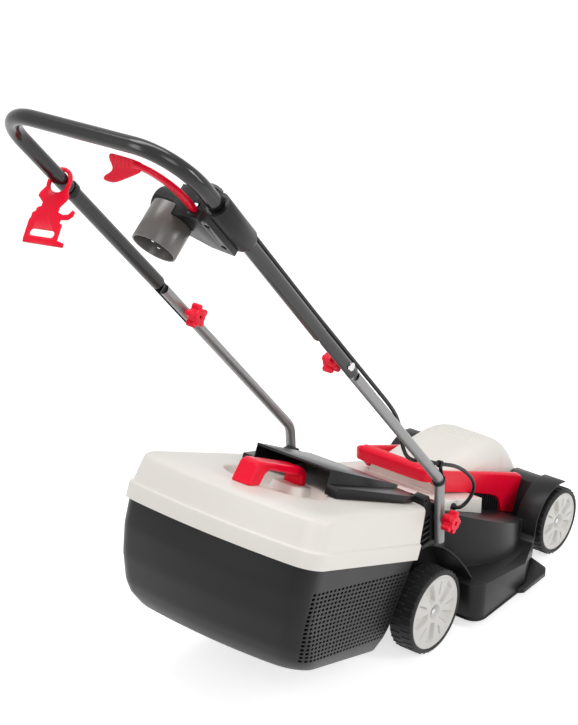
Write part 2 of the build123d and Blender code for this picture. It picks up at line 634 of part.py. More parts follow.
keep("cutting_blade", at_blade(blade))
blade_bolt = disc(BLADE_BOLT_R, BLADE_Z, blade_top + 25)
blade_bolt += extrude(Pos(0, 0, BLADE_Z - 6) * RegularPolygon(BLADE_BOLT_HEAD_R, 6), amount=6)
keep("blade_bolt", at_blade(blade_bolt))

# ---------------------------------------------------------------- hood, cover, bow, grilles
CAPACITOR_R = 17.0
CAPACITOR_LENGTH = 62.0
CAPACITOR_Y = 424.0
keep("motor_hood", hood_form(0) - hood_form(SHELL_WALL))
capacitor_z = PLINTH_TOP_Z + GAP + CAPACITOR_R
keep("capacitor", cross_bar(CAPACITOR_R, -CAPACITOR_LENGTH / 2, CAPACITOR_LENGTH / 2, CAPACITOR_Y, capacitor_z))

bow_grip_front_y = BOW_GRIP_Y + BOW_GRIP_DEPTH
bow_grip_low_z = BOW_GRIP_TOP_Z - BOW_GRIP_HEIGHT
bow_top_slope = (BOW_GRIP_TOP_Z - BOW_FRONT_TOP_Z) / (BOW_FRONT_Y - BOW_GRIP_Y)
ARCH_START_Y = 268.0
ARCH_CREST_Y = 352.0
LEG_REAR_Y = 378.0
BOW_PANEL_HEIGHT = 46.0


def bow_top_z(y):
    return BOW_GRIP_TOP_Z - bow_top_slope * (y - BOW_GRIP_Y)


def bow_low_z(y):
    """Lower edge of the side panels, over the cover and the grilles."""
    return bow_top_z(y) - BOW_PANEL_HEIGHT


panel_start_y = bow_grip_front_y + 24
bow_low_edge = [(panel_start_y, bow_low_z(panel_start_y)), (ARCH_START_Y, bow_low_z(ARCH_START_Y)),
                (ARCH_CREST_Y, bow_low_z(ARCH_CREST_Y) - 6), (LEG_REAR_Y - 8, bow_low_z(LEG_REAR_Y) - 12),
                (LEG_REAR_Y, roof_z(LEG_REAR_Y) + GAP * ROOF_LEAN),
                (NOSE_REAR_Y - 2, roof_z(NOSE_REAR_Y - 2) + GAP * ROOF_LEAN)]


def bow_form(inset):
    """Carry bow: a grip across the back and a side panel each side of the hood."""
    top = [(BOW_FRONT_Y - 2, BOW_FRONT_TOP_Z - inset), (BOW_GRIP_Y + inset, BOW_GRIP_TOP_Z - inset)]
    low = [(BOW_GRIP_Y + inset, bow_grip_low_z), (bow_grip_front_y, bow_grip_low_z - 6)] + bow_low_edge
    if inset:
        low = [(panel_start_y + inset, 0), (BOW_FRONT_Y - inset, 0)]
        top = [(BOW_FRONT_Y - inset - 2, BOW_FRONT_TOP_Z - inset),
               (panel_start_y + inset, bow_top_z(panel_start_y) - inset)]
    rear = BOW_REAR_HALF_WIDTH - inset
    front = BOW_FRONT_HALF_WIDTH - inset
    corner = rear - 26
    outer = [(-corner, BOW_GRIP_Y + inset), (corner, BOW_GRIP_Y + inset), (rear, BOW_GRIP_Y + 34),
             (front, BOW_FRONT_Y - inset), (-front, BOW_FRONT_Y - inset), (-rear, BOW_GRIP_Y + 34)]
    inner_half = HOOD_HALF_WIDTH + GAP + inset
    inner_front = HOOD_FRONT_HALF_WIDTH + 11 + inset
    finger_half = inner_half - 18
    inner = [(-finger_half, bow_grip_front_y), (finger_half, bow_grip_front_y), (inner_half, HOOD_REAR_Y - 4),
             (inner_half, HOOD_TAPER_Y), (inner_front, BOW_FRONT_Y + 20), (-inner_front, BOW_FRONT_Y + 20),
             (-inner_half, HOOD_TAPER_Y), (-inner_half, HOOD_REAR_Y - 4)]
    plan = make_face(Polyline(*outer, close=True)) - make_face(Polyline(*inner, close=True))
    return extrude(plan, amount=400) & prism_yz(low + top, -front - 5, front + 5)


bow = bow_form(0) - bow_form(3)
rib_pitch = 2 * (BOW_REAR_HALF_WIDTH - 30) / GRIP_RIBS
for i in range(GRIP_RIBS):
    rib_x = (i - (GRIP_RIBS - 1) / 2) * rib_pitch
    bow -= Pos(rib_x, BOW_GRIP_Y + 7, BOW_GRIP_TOP_Z - 3) * (Rot(0, 90, 90) * Cylinder(1.2, 16))
plinth_edge = PLINTH_HALF_WIDTH + GAP
bow -= block(-plinth_edge, plinth_edge, roof_y(PLINTH_TOP_Z) - 10, BOW_FRONT_Y + 20, 0, PLINTH_TOP_Z + GAP)
keep("carry_bow", bow)


def cover_form(inset):
    """Pale cover over the tunnel, wrapped round the foot of the hood."""
    half = COVER_HALF_WIDTH - inset
    rear = COVER_REAR_Y + inset
    seat = GAP * ROOF_LEAN - 40 * (inset > 0)
    front = ARCH_START_Y - 4 - inset
    knee_y = roof_y(TUNNEL_ROOF_Z)
    meet_y = panel_start_y
    side = [(rear, TUNNEL_ROOF_Z + seat), (rear, COVER_TOP_Z - inset), (rear + 40, COVER_TOP_Z - inset),
            (meet_y - 20, bow_low_z(meet_y) + 4 - inset), (front, bow_low_z(front) - GAP - inset),
            (front, roof_z(front) + seat), (knee_y, TUNNEL_ROOF_Z + seat)]
    bar = prism_yz(side, -half, half)
    edges = bar.edges().filter_by(GeomType.LINE)
    rear_uprights = edges.filter_by(Axis.Z).sort_by(Axis.Y)[:2]
    return fillet(rear_uprights, 16 - inset)


cover = cover_form(0) - cover_form(SHELL_WALL)
cover -= hood_form(0, grow=GAP)
cover -= bow_form(0).moved(Location((0, 0, -GAP)))
keep("rear_cover", cover)

grille_low_x = PLINTH_HALF_WIDTH + 1
grille_high_x = BOW_REAR_HALF_WIDTH + 10
grille_ends = (ARCH_START_Y, LEG_REAR_Y - 9)
grille_side = [(grille_ends[0], roof_z(grille_ends[0]) + GAP * ROOF_LEAN),
               (grille_ends[1], roof_z(grille_ends[1]) + GAP * ROOF_LEAN),
               (grille_ends[1], bow_low_z(LEG_REAR_Y) - 12 - 2), (ARCH_CREST_Y, bow_low_z(ARCH_CREST_Y) - 6 - GAP * 2),
               (grille_ends[0], bow_low_z(grille_ends[0]) - GAP * 2)]
grille = prism_yz(grille_side, grille_low_x, grille_high_x)
slat_pitch = (grille_ends[1] - grille_ends[0]) / SLATS
for i in range(SLATS):
    slot_y = grille_ends[0] + slat_pitch * (i + 0.5)
    grille -= block(grille_low_x + SHELL_WALL, grille_high_x + 1, slot_y - (slat_pitch - SLAT_THICK) / 2,
                    slot_y + (slat_pitch - SLAT_THICK) / 2, 0, 400)
keep("vent_grilles", *both_sides(grille))

# ---------------------------------------------------------------- brackets and base bolts
BASE_BOLT_R = 4.0
leg_inner_x = TUBE_X - LOWER_TUBE_R
leg_outer_x = TUBE_X + LOWER_TUBE_R
bracket_outer_x = leg_inner_x - GAP
ear_top_z = FLAP_HINGE_Z + EAR_R + 2
ear_rear_y = FLAP_HINGE_Y - EAR_R
bracket_side = [(BRACKET_REAR_Y, LEG_FOOT_Z), (BRACKET_FRONT_Y, LEG_FOOT_Z), (BRACKET_FRONT_Y, BRACKET_TOP_Z - 16),
                (FLAP_HINGE_Y + 18, BRACKET_TOP_Z), (FLAP_HINGE_Y + EAR_R + 3, ear_top_z), (ear_rear_y, ear_top_z),
                (ear_rear_y, BRACKET_TOP_Z - 6), (BRACKET_REAR_Y, BRACKET_TOP_Z - 24)]
bracket = prism_yz(bracket_side, BRACKET_INNER_X, bracket_outer_x)
rib_gap = (BRACKET_TOP_Z - 24 - LEG_FOOT_Z) / BRACKET_RIBS
for i in range(BRACKET_RIBS):
    low = LEG_FOOT_Z + 4 + i * rib_gap
    bracket -= block(BRACKET_INNER_X + 9, bracket_outer_x + 1, BRACKET_REAR_Y - 1, BASE_BOLT_Y - 14, low,
                     low + rib_gap - 3)
bracket -= cross_bar(BASE_BOLT_R + SLIDE, BRACKET_INNER_X - 1, bracket_outer_x + 1, BASE_BOLT_Y, BASE_BOLT_Z)
bracket -= cross_bar(FLAP_ROD_R + SLIDE, BRACKET_INNER_X - 1, bracket_outer_x + 1, FLAP_HINGE_Y, FLAP_HINGE_Z)
keep("handle_brackets", *both_sides(bracket))
knob_seat_x = leg_outer_x + GAP
base_bolt_end = knob_seat_x + KNOB_NECK + KNOB_THICK * 0.7
base_bolt = cross_bar(BASE_BOLT_R, BRACKET_INNER_X - 1, base_bolt_end, BASE_BOLT_Y, BASE_BOLT_Z)
base_bolt += cross_bar(BOLT_HEAD_R, BRACKET_INNER_X - BOLT_HEAD_HEIGHT, BRACKET_INNER_X, BASE_BOLT_Y, BASE_BOLT_Z)
keep("base_bolts", *both_sides(base_bolt))


def star_knob(bore_r):
    """Star knob on the local Z axis, its neck at z = 0."""
    lobe_r = 6.0
    knob = disc(10, 0, KNOB_NECK + 1) + disc(KNOB_R * 0.62, KNOB_NECK, KNOB_NECK + KNOB_THICK)
    lobe = Pos(KNOB_R - lobe_r, 0, 0) * disc(lobe_r, KNOB_NECK, KNOB_NECK + KNOB_THICK - 3)
    for turn in range(KNOB_LOBES):
        knob += Rot(0, 0, 360 * turn / KNOB_LOBES) * lobe
    return knob - disc(bore_r, -1, KNOB_NECK + KNOB_THICK + 1)


base_knob = Pos(knob_seat_x, BASE_BOLT_Y, BASE_BOLT_Z) * (Rot(0, 90, 0) * star_knob(BASE_BOLT_R + RUN))
keep("base_knob_right", base_knob)
keep("base_knob_left", mirrored(base_knob))


# ---------------------------------------------------------------- handle tubes
def on_handle(shape):
    return HANDLE.location * shape


def swept_tube(points, radii, outer_r, inner_r):
    """Round tube along straight runs joined by arcs."""
    path = FilletPolyline(*points, radius=radii)
    start = Plane(origin=path @ 0, z_dir=path % 0)
    tube = sweep(start * Circle(outer_r), path=path)
    if inner_r:
        tube -= sweep(start * Circle(inner_r), path=path)
    return tube


def tube_bar(radius, x, s_low, s_high, depth=0.0):
    """Cylinder along the tubes, in the handle frame."""
    return Pos(x, (s_low + s_high) / 2, depth) * (Rot(90, 0, 0) * Cylinder(radius, s_high - s_low))


tube_end = (TUBE_X, FOLD_Y + HANDLE_UP[1] * LOWER_TUBE_PAST_FOLD, FOLD_Z + HANDLE_UP[2] * LOWER_TUBE_PAST_FOLD)
lower_tube = swept_tube([(TUBE_X, LEG_FOOT_Y, LEG_FOOT_Z), (TUBE_X, BEND_Y, BEND_Z), tube_end], BEND_R,
                        LOWER_TUBE_R, LOWER_TUBE_R - LOWER_TUBE_WALL)
crimp_low = -SADDLE_BELOW_FOLD - 16
press = on_handle(block(TUBE_X + CRIMP_X, TUBE_X + 40, crimp_low, LOWER_TUBE_PAST_FOLD + 5, -30, 30))
flat_half = math.sqrt(LOWER_TUBE_R ** 2 - CRIMP_X ** 2) - LOWER_TUBE_WALL / 2
flat = on_handle(block(TUBE_X + CRIMP_X - LOWER_TUBE_WALL, TUBE_X + CRIMP_X, crimp_low - LOWER_TUBE_WALL,
                       LOWER_TUBE_PAST_FOLD, -flat_half, flat_half))
lower_tube = lower_tube - press + flat
lower_tube -= cross_bar(BOLT_R + SLIDE, 100, 220, FOLD_Y, FOLD_Z)
lower_tube -= cross_bar(BASE_BOLT_R + RUN, 100, 220, BASE_BOLT_Y, BASE_BOLT_Z)
keep("lower_tube_right", lower_tube)
keep("lower_tube_left", mirrored(lower_tube))

saddle_in_r = LOWER_TUBE_R + GAP
saddle_out_r = saddle_in_r + SADDLE_WALL
saddle = tube_bar(saddle_out_r, TUBE_X, -SADDLE_BELOW_FOLD, SADDLE_ABOVE_FOLD)
saddle_top_low = SADDLE_ABOVE_FOLD - SADDLE_TOP_THICK
saddle -= tube_bar(saddle_in_r, TUBE_X, -SADDLE_BELOW_FOLD - 1, saddle_top_low)
saddle -= block(TUBE_X - 40, TUBE_X + CRIMP_X + GAP, -SADDLE_BELOW_FOLD - 1, saddle_top_low, -30, 30)
saddle -= tube_bar(DRAIN_R, TUBE_X, saddle_top_low - 1, SADDLE_ABOVE_FOLD + 1)
tube_start = SADDLE_ABOVE_FOLD - SADDLE_LAP
handle_path = [(TUBE_X, tube_start, 0), (BAR_HALF_WIDTH, FOLD_TO_BAR, 0),
               (-BAR_HALF_WIDTH, FOLD_TO_BAR, 0), (-TUBE_X, tube_start, 0)]
upper = swept_tube(handle_path, BAR_CORNER_R, UPPER_TUBE_R, UPPER_TUBE_R - UPPER_TUBE_WALL)
upper = upper + saddle + mirrored(saddle)
upper -= cross_bar(BOLT_R + SLIDE, -220, 220, 0, 0)
keep("upper_handle", on_handle(upper))
fold_knob_seat = leg_inner_x - GAP
fold_bolt_end = fold_knob_seat - KNOB_NECK - KNOB_THICK * 0.7
web_x = TUBE_X + saddle_out_r
fold_bolt = cross_bar(BOLT_R, fold_bolt_end, web_x + 1, 0, 0)
fold_bolt += cross_bar(BOLT_HEAD_R, web_x, web_x + BOLT_HEAD_HEIGHT, 0, 0)
keep("fold_bolts", *both_sides(on_handle(fold_bolt)))
fold_knob = on_handle(Pos(fold_knob_seat, 0, 0) * (Rot(0, -90, 0) * star_knob(BOLT_R + RUN)))
keep("fold_knob_right", fold_knob)
keep("fold_knob_left", mirrored(fold_knob))


# ---------------------------------------------------------------- grass box
def on_box(shape):
    return BOX.location * shape


def box_outline(front_v, inset, rear_inset, w_front, w_rear, corner_r):
    """Plan of the box at one height: straight front and sides, a bulged rear and round rear corners."""
    front_half = BOX_FRONT_HALF_WIDTH - inset
    rear_half = BOX_REAR_HALF_WIDTH - inset
    rear_v = BOX_BULGE - BOX_LENGTH + rear_inset
    middle_v = rear_inset - BOX_LENGTH
    outline = (Line((-front_half, front_v), (front_half, front_v)) + Line((front_half, front_v), (rear_half, rear_v))
               + ThreePointArc((rear_half, rear_v), (0, middle_v), (-rear_half, rear_v))
               + Line((-rear_half, rear_v), (-front_half, front_v)))
    plan = make_face(outline)
    plan = fillet(plan.vertices().sort_by(Axis.Y)[:2], corner_r)
    slope = (w_front - w_rear) / BOX_LENGTH
    level = Plane(origin=(0, 0, w_front), x_dir=(1, 0, 0), z_dir=(0, -slope, 1))
    return level.location * plan


def lid_form(inset):
    """Lid from its rim to its crowned top; inset gives its hollow."""
    front = -inset
    skirt_w = LID_SKIRT - 0.4 * inset
    corner = BOX_CORNER_R - inset
    low = -10 if inset else 0
    top = LID_FRONT_HEIGHT - inset
    rise = LID_FRONT_HEIGHT - LID_REAR_HEIGHT
    return loft([
        box_outline(front, inset, inset, low, low, corner),
        box_outline(front, inset, inset, skirt_w, skirt_w, corner),
        box_outline(front, LID_STEP + inset, LID_STEP + inset, skirt_w + 1.5, skirt_w + 1.5, corner),
        box_outline(front, 10 + inset, 12 + inset, top - 15, top - 15 - rise, corner),
        box_outline(front, 18 + inset, 22 + inset, top - 6, top - 6 - rise, corner),
        box_outline(front, 60, 60, top, top - rise, corner),
    ], ruled=True)


LID_STEP = 3.0
RECESS_V = -241.0
RECESS_HALF_LENGTH = 70.0
RECESS_HALF_WIDTH = 105.0
RECESS_DEPTH = 18.0
PAD_HALF_WIDTH = 32.0
PAD_FRONT_V = -170.0
PAD_REAR_V = -214.0


def recess_form(grow):
    """Oval dish round the handle."""
    dish = Pos(0, RECESS_V, 0) * extrude(Ellipse(RECESS_HALF_WIDTH + grow, RECESS_HALF_LENGTH + grow), amount=200)
    floor = [(-BOX_LENGTH, lid_top_w(-BOX_LENGTH) - RECESS_DEPTH - grow), (0, lid_top_w(0) - RECESS_DEPTH - grow),
             (0, 200), (-BOX_LENGTH, 200)]
    return dish & prism_yz(floor, -200, 200)


pad_side = [(PAD_REAR_V, lid_top_w(PAD_REAR_V) - RECESS_DEPTH - 1), (PAD_REAR_V, lid_top_w(PAD_REAR_V) - PAD_DROP),
            (PAD_FRONT_V, lid_top_w(PAD_FRONT_V) - PAD_DROP), (PAD_FRONT_V, lid_top_w(PAD_FRONT_V) - RECESS_DEPTH - 1)]
lid = lid_form(0) - recess_form(0)
lid -= lid_form(BOX_WALL) - recess_form(BOX_WALL)
lid += prism_yz(pad_side, -PAD_HALF_WIDTH, PAD_HALF_WIDTH)
shelf_band = extrude(box_outline(-BOX_WALL / 2, BOX_WALL / 2, BOX_WALL / 2, RIM_W, RIM_W, BOX_CORNER_R), amount=BOX_WALL)
shelf_band -= extrude(box_outline(-14, 14, 14, RIM_W - 1, RIM_W - 1, BOX_CORNER_R - 12), amount=BOX_WALL + 2)
lid += shelf_band
hook_side = [(-1, hook_low_w(-1)), (HOOK_LENGTH, hook_low_w(HOOK_LENGTH)),
             (HOOK_LENGTH, hook_low_w(HOOK_LENGTH) + HOOK_THICK), (-1, hook_low_w(-1) + HOOK_THICK + 3)]
for side in (-1, 1):
    lid += Pos(side * HOOK_X, 0, 0) * prism_yz(hook_side, -HOOK_WIDTH / 2, HOOK_WIDTH / 2)
keep("box_lid", on_box(lid))


# Each level of the tub: depth as a share of the way from rim to foot, then how far the front, side and
# rear walls stand inside the lid's outline there, and the corner radius.
TUB_LEVELS = [(0.0, 3.2, TUB_INSET, TUB_INSET, 38.0), (0.45, 14.0, 8.0, 22.0, 42.0),
              (0.70, 21.0, 10.0, 44.0, 46.0), (0.86, 28.0, 15.0, 68.0, 50.0),
              (0.95, 31.0, 24.0, 80.0, 54.0), (1.0, 34.0, 46.0, 98.0, 54.0)]


def tub_form(inset):
    """Tub below the lid, narrower and rounded towards its foot; inset gives its hollow."""
    rim = RIM_W + 5 * (inset > 0)
    levels = []
    for share, front_in, side_in, rear_in, corner in TUB_LEVELS:
        front_w = rim + share * (inset - BOX_FRONT_DEPTH - rim)
        rear_w = rim + share * (inset - BOX_REAR_DEPTH - rim)
        levels.append(box_outline(-front_in - inset, side_in + inset, rear_in + inset, front_w, rear_w,
                                  corner - inset))
    return loft(levels, ruled=True)


tub = tub_form(0) - tub_form(BOX_WALL)
tub -= block(-BOX_MOUTH_HALF_WIDTH, BOX_MOUTH_HALF_WIDTH, -48, 5, BOX_MOUTH_LOW_W, BOX_MOUTH_HIGH_W)
keep("box_tub", on_box(tub))

handle_front_v = BOX_HANDLE_REAR_V + BOX_HANDLE_LENGTH
handle_top_w = lid_top_w(BOX_HANDLE_REAR_V) + BOX_HANDLE_HEIGHT
arm = BOX_HANDLE_THICK
grip_side = [(BOX_HANDLE_REAR_V, lid_top_w(BOX_HANDLE_REAR_V)), (BOX_HANDLE_REAR_V + 14, handle_top_w - 6),
             (BOX_HANDLE_REAR_V + 26, handle_top_w), (handle_front_v - 20, handle_top_w - 8),
             (handle_front_v - 3, handle_top_w - 20), (handle_front_v, lid_top_w(handle_front_v) - PAD_DROP),
             (handle_front_v - arm, lid_top_w(handle_front_v - arm) - PAD_DROP),
             (handle_front_v - arm - 3, handle_top_w - 24), (handle_front_v - 32, handle_top_w - 8 - arm),
             (BOX_HANDLE_REAR_V + 52, handle_top_w - arm), (BOX_HANDLE_REAR_V + 42, handle_top_w - arm - 8),
             (BOX_HANDLE_REAR_V + 34, lid_top_w(BOX_HANDLE_REAR_V + 34))]
grip = prism_yz(grip_side, -BOX_HANDLE_WIDTH / 2, BOX_HANDLE_WIDTH / 2)
keep("box_handle", on_box(grip))


# ---------------------------------------------------------------- rear flap
def flap_raised(inset, low_drop):
    """Raised middle of the flap, narrower and higher at the rear."""
    rear_half = FLAP_RAISED_HALF_WIDTH - inset
    front_half = FLAP_RAISED_FRONT_HALF_WIDTH - inset
    front_v = FLAP_FRONT_V - inset
    rear_v = FLAP_REAR_V - low_drop
    plan = extrude(make_face(Polyline((-rear_half, rear_v), (rear_half, rear_v), (front_half, front_v),
                                      (-front_half, front_v), close=True)), amount=200)
    side = [(rear_v, lid_top_w(rear_v) + LID_GAP - low_drop), (rear_v, FLAP_RAISED_W - inset),
            (front_v, FLAP_RAISED_FRONT_W - inset), (front_v, lid_top_w(front_v) + LID_GAP - low_drop)]
    return plan & prism_yz(side, -150, 150)


def flap_shoulder(inset, low_drop):
    """Low wings each side of the raised middle."""
    rear_half = FLAP_REAR_HALF_WIDTH - inset
    wide = FLAP_FRONT_HALF_WIDTH - inset
    rear_v = FLAP_REAR_V + inset
    wing_v = FLAP_WING_FRONT_V - inset
    barrel_half = FLAP_BARREL_END_X - 2 - inset
    plan = extrude(make_face(Polyline(
        (-rear_half, rear_v), (rear_half, rear_v), (wide, -50), (wide, wing_v), (barrel_half, wing_v),
        (barrel_half, FLAP_FRONT_V - inset), (-barrel_half, FLAP_FRONT_V - inset), (-barrel_half, wing_v),
        (-wide, wing_v), (-wide, -50), close=True)), amount=200)
    side = [(-300, lid_top_w(-300) + LID_GAP - low_drop), (-300, FLAP_SHOULDER_W - inset),
            (20, FLAP_SHOULDER_W - inset), (20, lid_top_w(20) + LID_GAP - low_drop)]
    return plan & prism_yz(side, -160, 160)


hinge_place = BOX.to_local_coords(Vector(0, FLAP_HINGE_Y, FLAP_HINGE_Z))
flap = flap_raised(0, 0) + flap_shoulder(0, 0)
flap -= flap_raised(FLAP_WALL, 20)
flap -= flap_shoulder(FLAP_WALL, 20) - block(-FLAP_RAISED_FRONT_HALF_WIDTH, FLAP_RAISED_FRONT_HALF_WIDTH,
                                             -300, 50, 0, 300)
barrel_r = FLAP_ROD_R + FLAP_WALL
hinge_v = hinge_place.Y
hinge_w = hinge_place.Z
spring_inner_x = FLAP_BARREL_END_X - 11
spring_outer_x = FLAP_BARREL_END_X - 25
barrel = cross_bar(barrel_r, -FLAP_BARREL_END_X, FLAP_BARREL_END_X, hinge_v, hinge_w)
barrel += block(-FLAP_BARREL_END_X, FLAP_BARREL_END_X, FLAP_FRONT_V - 1, hinge_v, hinge_w - 2, hinge_w + 2)
for side in (-1, 1):
    near, far = sorted((side * spring_inner_x, side * spring_outer_x))
    barrel -= block(near, far, FLAP_FRONT_V, hinge_v + 20, 0, 200)
    flap -= cross_bar(barrel_r + 1, near, far, hinge_v, hinge_w)
flap += barrel
flap -= cross_bar(FLAP_ROD_R + RUN, -200, 200, hinge_v, hinge_w)
keep("rear_flap", on_box(flap))
rod = cross_bar(FLAP_ROD_R, -BRACKET_INNER_X - 14, BRACKET_INNER_X + 14, FLAP_HINGE_Y, FLAP_HINGE_Z)
keep("flap_hinge_rod", rod)
spring_wire_r = 0.5
coil_r = FLAP_ROD_R + GAP + spring_wire_r
coil_length = spring_inner_x - spring_outer_x - 2
coil_path = Helix(pitch=1.6, height=coil_length, radius=coil_r)
coil = sweep(Plane(origin=coil_path @ 0, z_dir=coil_path % 0) * Circle(spring_wire_r), path=coil_path)
coil = Pos(spring_outer_x + 1, FLAP_HINGE_Y, FLAP_HINGE_Z) * (Rot(0, 90, 0) * coil)
keep("flap_springs", *both_sides(coil))


# ---------------------------------------------------------------- switch unit
def tube_x(s):
    """Centre of the right handle tube in the handle frame."""
    return TUBE_X + (BAR_HALF_WIDTH - TUBE_X) * (s - tube_start) / (FOLD_TO_BAR - tube_start)


tube_lean = (tube_x(1) - tube_x(0), 1, 0)


def along_tube(radius, s_low, s_high, end_radius=None):
    """Round bar or taper that follows the right handle tube."""
    start = Plane(origin=(tube_x(s_low), s_low, 0), z_dir=tube_lean)
    if end_radius is None:
        return extrude(start * Circle(radius), amount=s_high - s_low)
    stop = Plane(origin=(tube_x(s_high), s_high, 0), z_dir=tube_lean)
    return loft([start * Circle(radius), stop * Circle(end_radius)])


def housing_form(inset):
    """Both housing halves together, without the barrel."""
    high = HOUSING_HIGH_S - inset
    inner_s = INLET_S + BARREL_R - inset
    low_s = INLET_S - BARREL_R + inset
    plan = [(BELLY_INNER_X, low_s), (BELLY_KNEE_X, HOUSING_LOW_S + 8 + inset), (HOUSING_OUTER_X, HOUSING_LOW_S + inset),
            (HOUSING_OUTER_X, high), (BELLY_KNEE_X, high), (BELLY_INNER_X, inner_s)]
    belly = Pos(0, 0, inset - HOUSING_R) * extrude(make_face(Polyline(*plan, close=True)),
                                                 amount=HOUSING_R + BELLY_DEPTH - 2 * inset)
    return belly


tube_hole = along_tube(UPPER_TUBE_R + GAP, HOUSING_LOW_S - 20, HOUSING_HIGH_S + 20)
parting = block(PARTING_X, 300, 0, 900, -100, 100)
sleeve = along_tube(HOUSING_R, HOUSING_LOW_S, HOUSING_HIGH_S)
sleeve += along_tube(HOUSING_R - 5, HOUSING_LOW_S - 10, HOUSING_LOW_S, HOUSING_R)
barrel_bar = cross_bar(BARREL_R, BARREL_END_X, BELLY_INNER_X + 20, INLET_S, BARREL_DEPTH)
barrel_bar = fillet(barrel_bar.edges().filter_by(GeomType.CIRCLE).sort_by(Axis.X)[:1], 8)
shell = housing_form(0) + sleeve + barrel_bar
button_boss = Pos(BUTTON_X, BUTTON_S, 0) * disc(BUTTON_R + 3, -BUTTON_TOP_DEPTH + 5, -HOUSING_R + 4)
shell += button_boss
cavity = housing_form(BOX_WALL) - along_tube(UPPER_TUBE_R + GAP + BOX_WALL, HOUSING_LOW_S - 20, HOUSING_HIGH_S + 20)
cavity += cross_bar(BARREL_R - BOX_WALL, BARREL_END_X + BOX_WALL + 2, BELLY_INNER_X + 25, INLET_S, BARREL_DEPTH)
cavity &= block(0, PARTING_X + 1, 0, 900, -100, 100)
shell -= cavity
shell -= tube_hole
shell -= Pos(BUTTON_X, BUTTON_S, 0) * disc(BUTTON_R + SLIDE, -BUTTON_TOP_DEPTH, -HOUSING_R + BOX_WALL + 2)
lever_slot = block(LEVER_X - LEVER_WIDTH / 2 - 1, LEVER_X + LEVER_WIDTH / 2 + 1, LEVER_PIVOT_S, HOUSING_HIGH_S + 5,
                   LEVER_DEPTH - LEVER_THICK - 2, LEVER_DEPTH + LEVER_THICK / 2 + 1)
shell -= lever_slot
pin_half = LEVER_WIDTH / 2 + 5
lever_pin = cross_bar(LEVER_PIN_R, LEVER_X - pin_half, LEVER_X + pin_half, LEVER_PIVOT_S, LEVER_DEPTH)
lugs = block(LEVER_X - pin_half, LEVER_X - LEVER_WIDTH / 2 - GAP, LEVER_PIVOT_S - 6, LEVER_PIVOT_S + 6,
             LEVER_DEPTH - 6, BELLY_DEPTH - 1)
lugs += block(LEVER_X + LEVER_WIDTH / 2 + GAP, LEVER_X + pin_half, LEVER_PIVOT_S - 6, LEVER_PIVOT_S + 6,
              LEVER_DEPTH - 6, BELLY_DEPTH - 1)
shell += lugs - lever_pin
shell += lever_pin
slot_x = tube_x(HOUSING_LOW_S)
slot_half = CABLE_R + 3 * GAP
shell -= block(slot_x - slot_half, slot_x + slot_half, 0, HOUSING_LOW_S + 6, -CABLE_OFF - slot_half,
               -CABLE_OFF + slot_half)
screw_places = [(tube_x(s) - 8, s) for s in (HOUSING_LOW_S + 22, HOUSING_HIGH_S - 16)]
screws = []
for x, s in screw_places:
    shell -= Pos(x, s, 0) * disc(SCREW_HEAD_R + 1, SCREW_HEAD_DEPTH - 2, 60)
    shell -= Pos(x, s, 0) * disc(SCREW_R + SLIDE, SCREW_HEAD_DEPTH - 5, 60)
    screw = Pos(x, s, 0) * disc(SCREW_R, SCREW_HEAD_DEPTH - 4.5, SCREW_HEAD_DEPTH)
    screws.append(screw + Pos(x, s, 0) * disc(SCREW_HEAD_R, SCREW_HEAD_DEPTH - 2, SCREW_HEAD_DEPTH))
keep("housing_screws", *[on_handle(screw) for screw in screws])


def at_inlet(shape):
    return Pos(INLET_X, INLET_S, 0) * shape


collar = disc(COLLAR_R, COLLAR_START, COLLAR_REACH) - disc(COLLAR_R - COLLAR_WALL, COLLAR_START - 1, COLLAR_REACH + 1)
collar += disc(COLLAR_R - COLLAR_WALL / 2, INLET_FLOOR, INLET_FLOOR + INLET_FLOOR_THICK)
collar = at_inlet(collar)
collar -= cross_bar(BARREL_R + GAP, 0, BELLY_INNER_X + 20, INLET_S, BARREL_DEPTH)
collar -= housing_form(-GAP)
pins = []
pin_foot = INLET_FLOOR + INLET_FLOOR_THICK
for side in (-1, 1):
    pin_place = Pos(0, side * PIN_PITCH / 2, 0)
    collar -= at_inlet(pin_place * disc(PIN_ROOT_R + RUN, INLET_FLOOR - 1, pin_foot + 1))
    pin = disc(PIN_ROOT_R, INLET_FLOOR, pin_foot + 1) + disc(PIN_R, pin_foot, pin_foot + PIN_LENGTH)
    pins.append(on_handle(at_inlet(pin_place * pin)))
keep("plug_inlet", on_handle(collar))
keep("plug_pins", *pins)
keep("switch_housing_outer", on_handle(shell & parting))
keep("switch_housing_inner", on_handle(shell - parting))
switch_x = LEVER_X
microswitch = block(switch_x - 5, switch_x + 5, LEVER_PIVOT_S - 44, LEVER_PIVOT_S - 20, -6, BELLY_DEPTH - BOX_WALL)
keep("microswitch", on_handle(microswitch))
button = Pos(BUTTON_X, BUTTON_S, 0) * disc(BUTTON_R, -BUTTON_TOP_DEPTH, -HOUSING_R + BOX_WALL + 3)
for turn in range(3):
    button -= Pos(BUTTON_X, BUTTON_S + 6 * (turn - 1), -BUTTON_TOP_DEPTH) * Box(2 * BUTTON_R, 1.6, 1.6)
keep("release_button", on_handle(button))

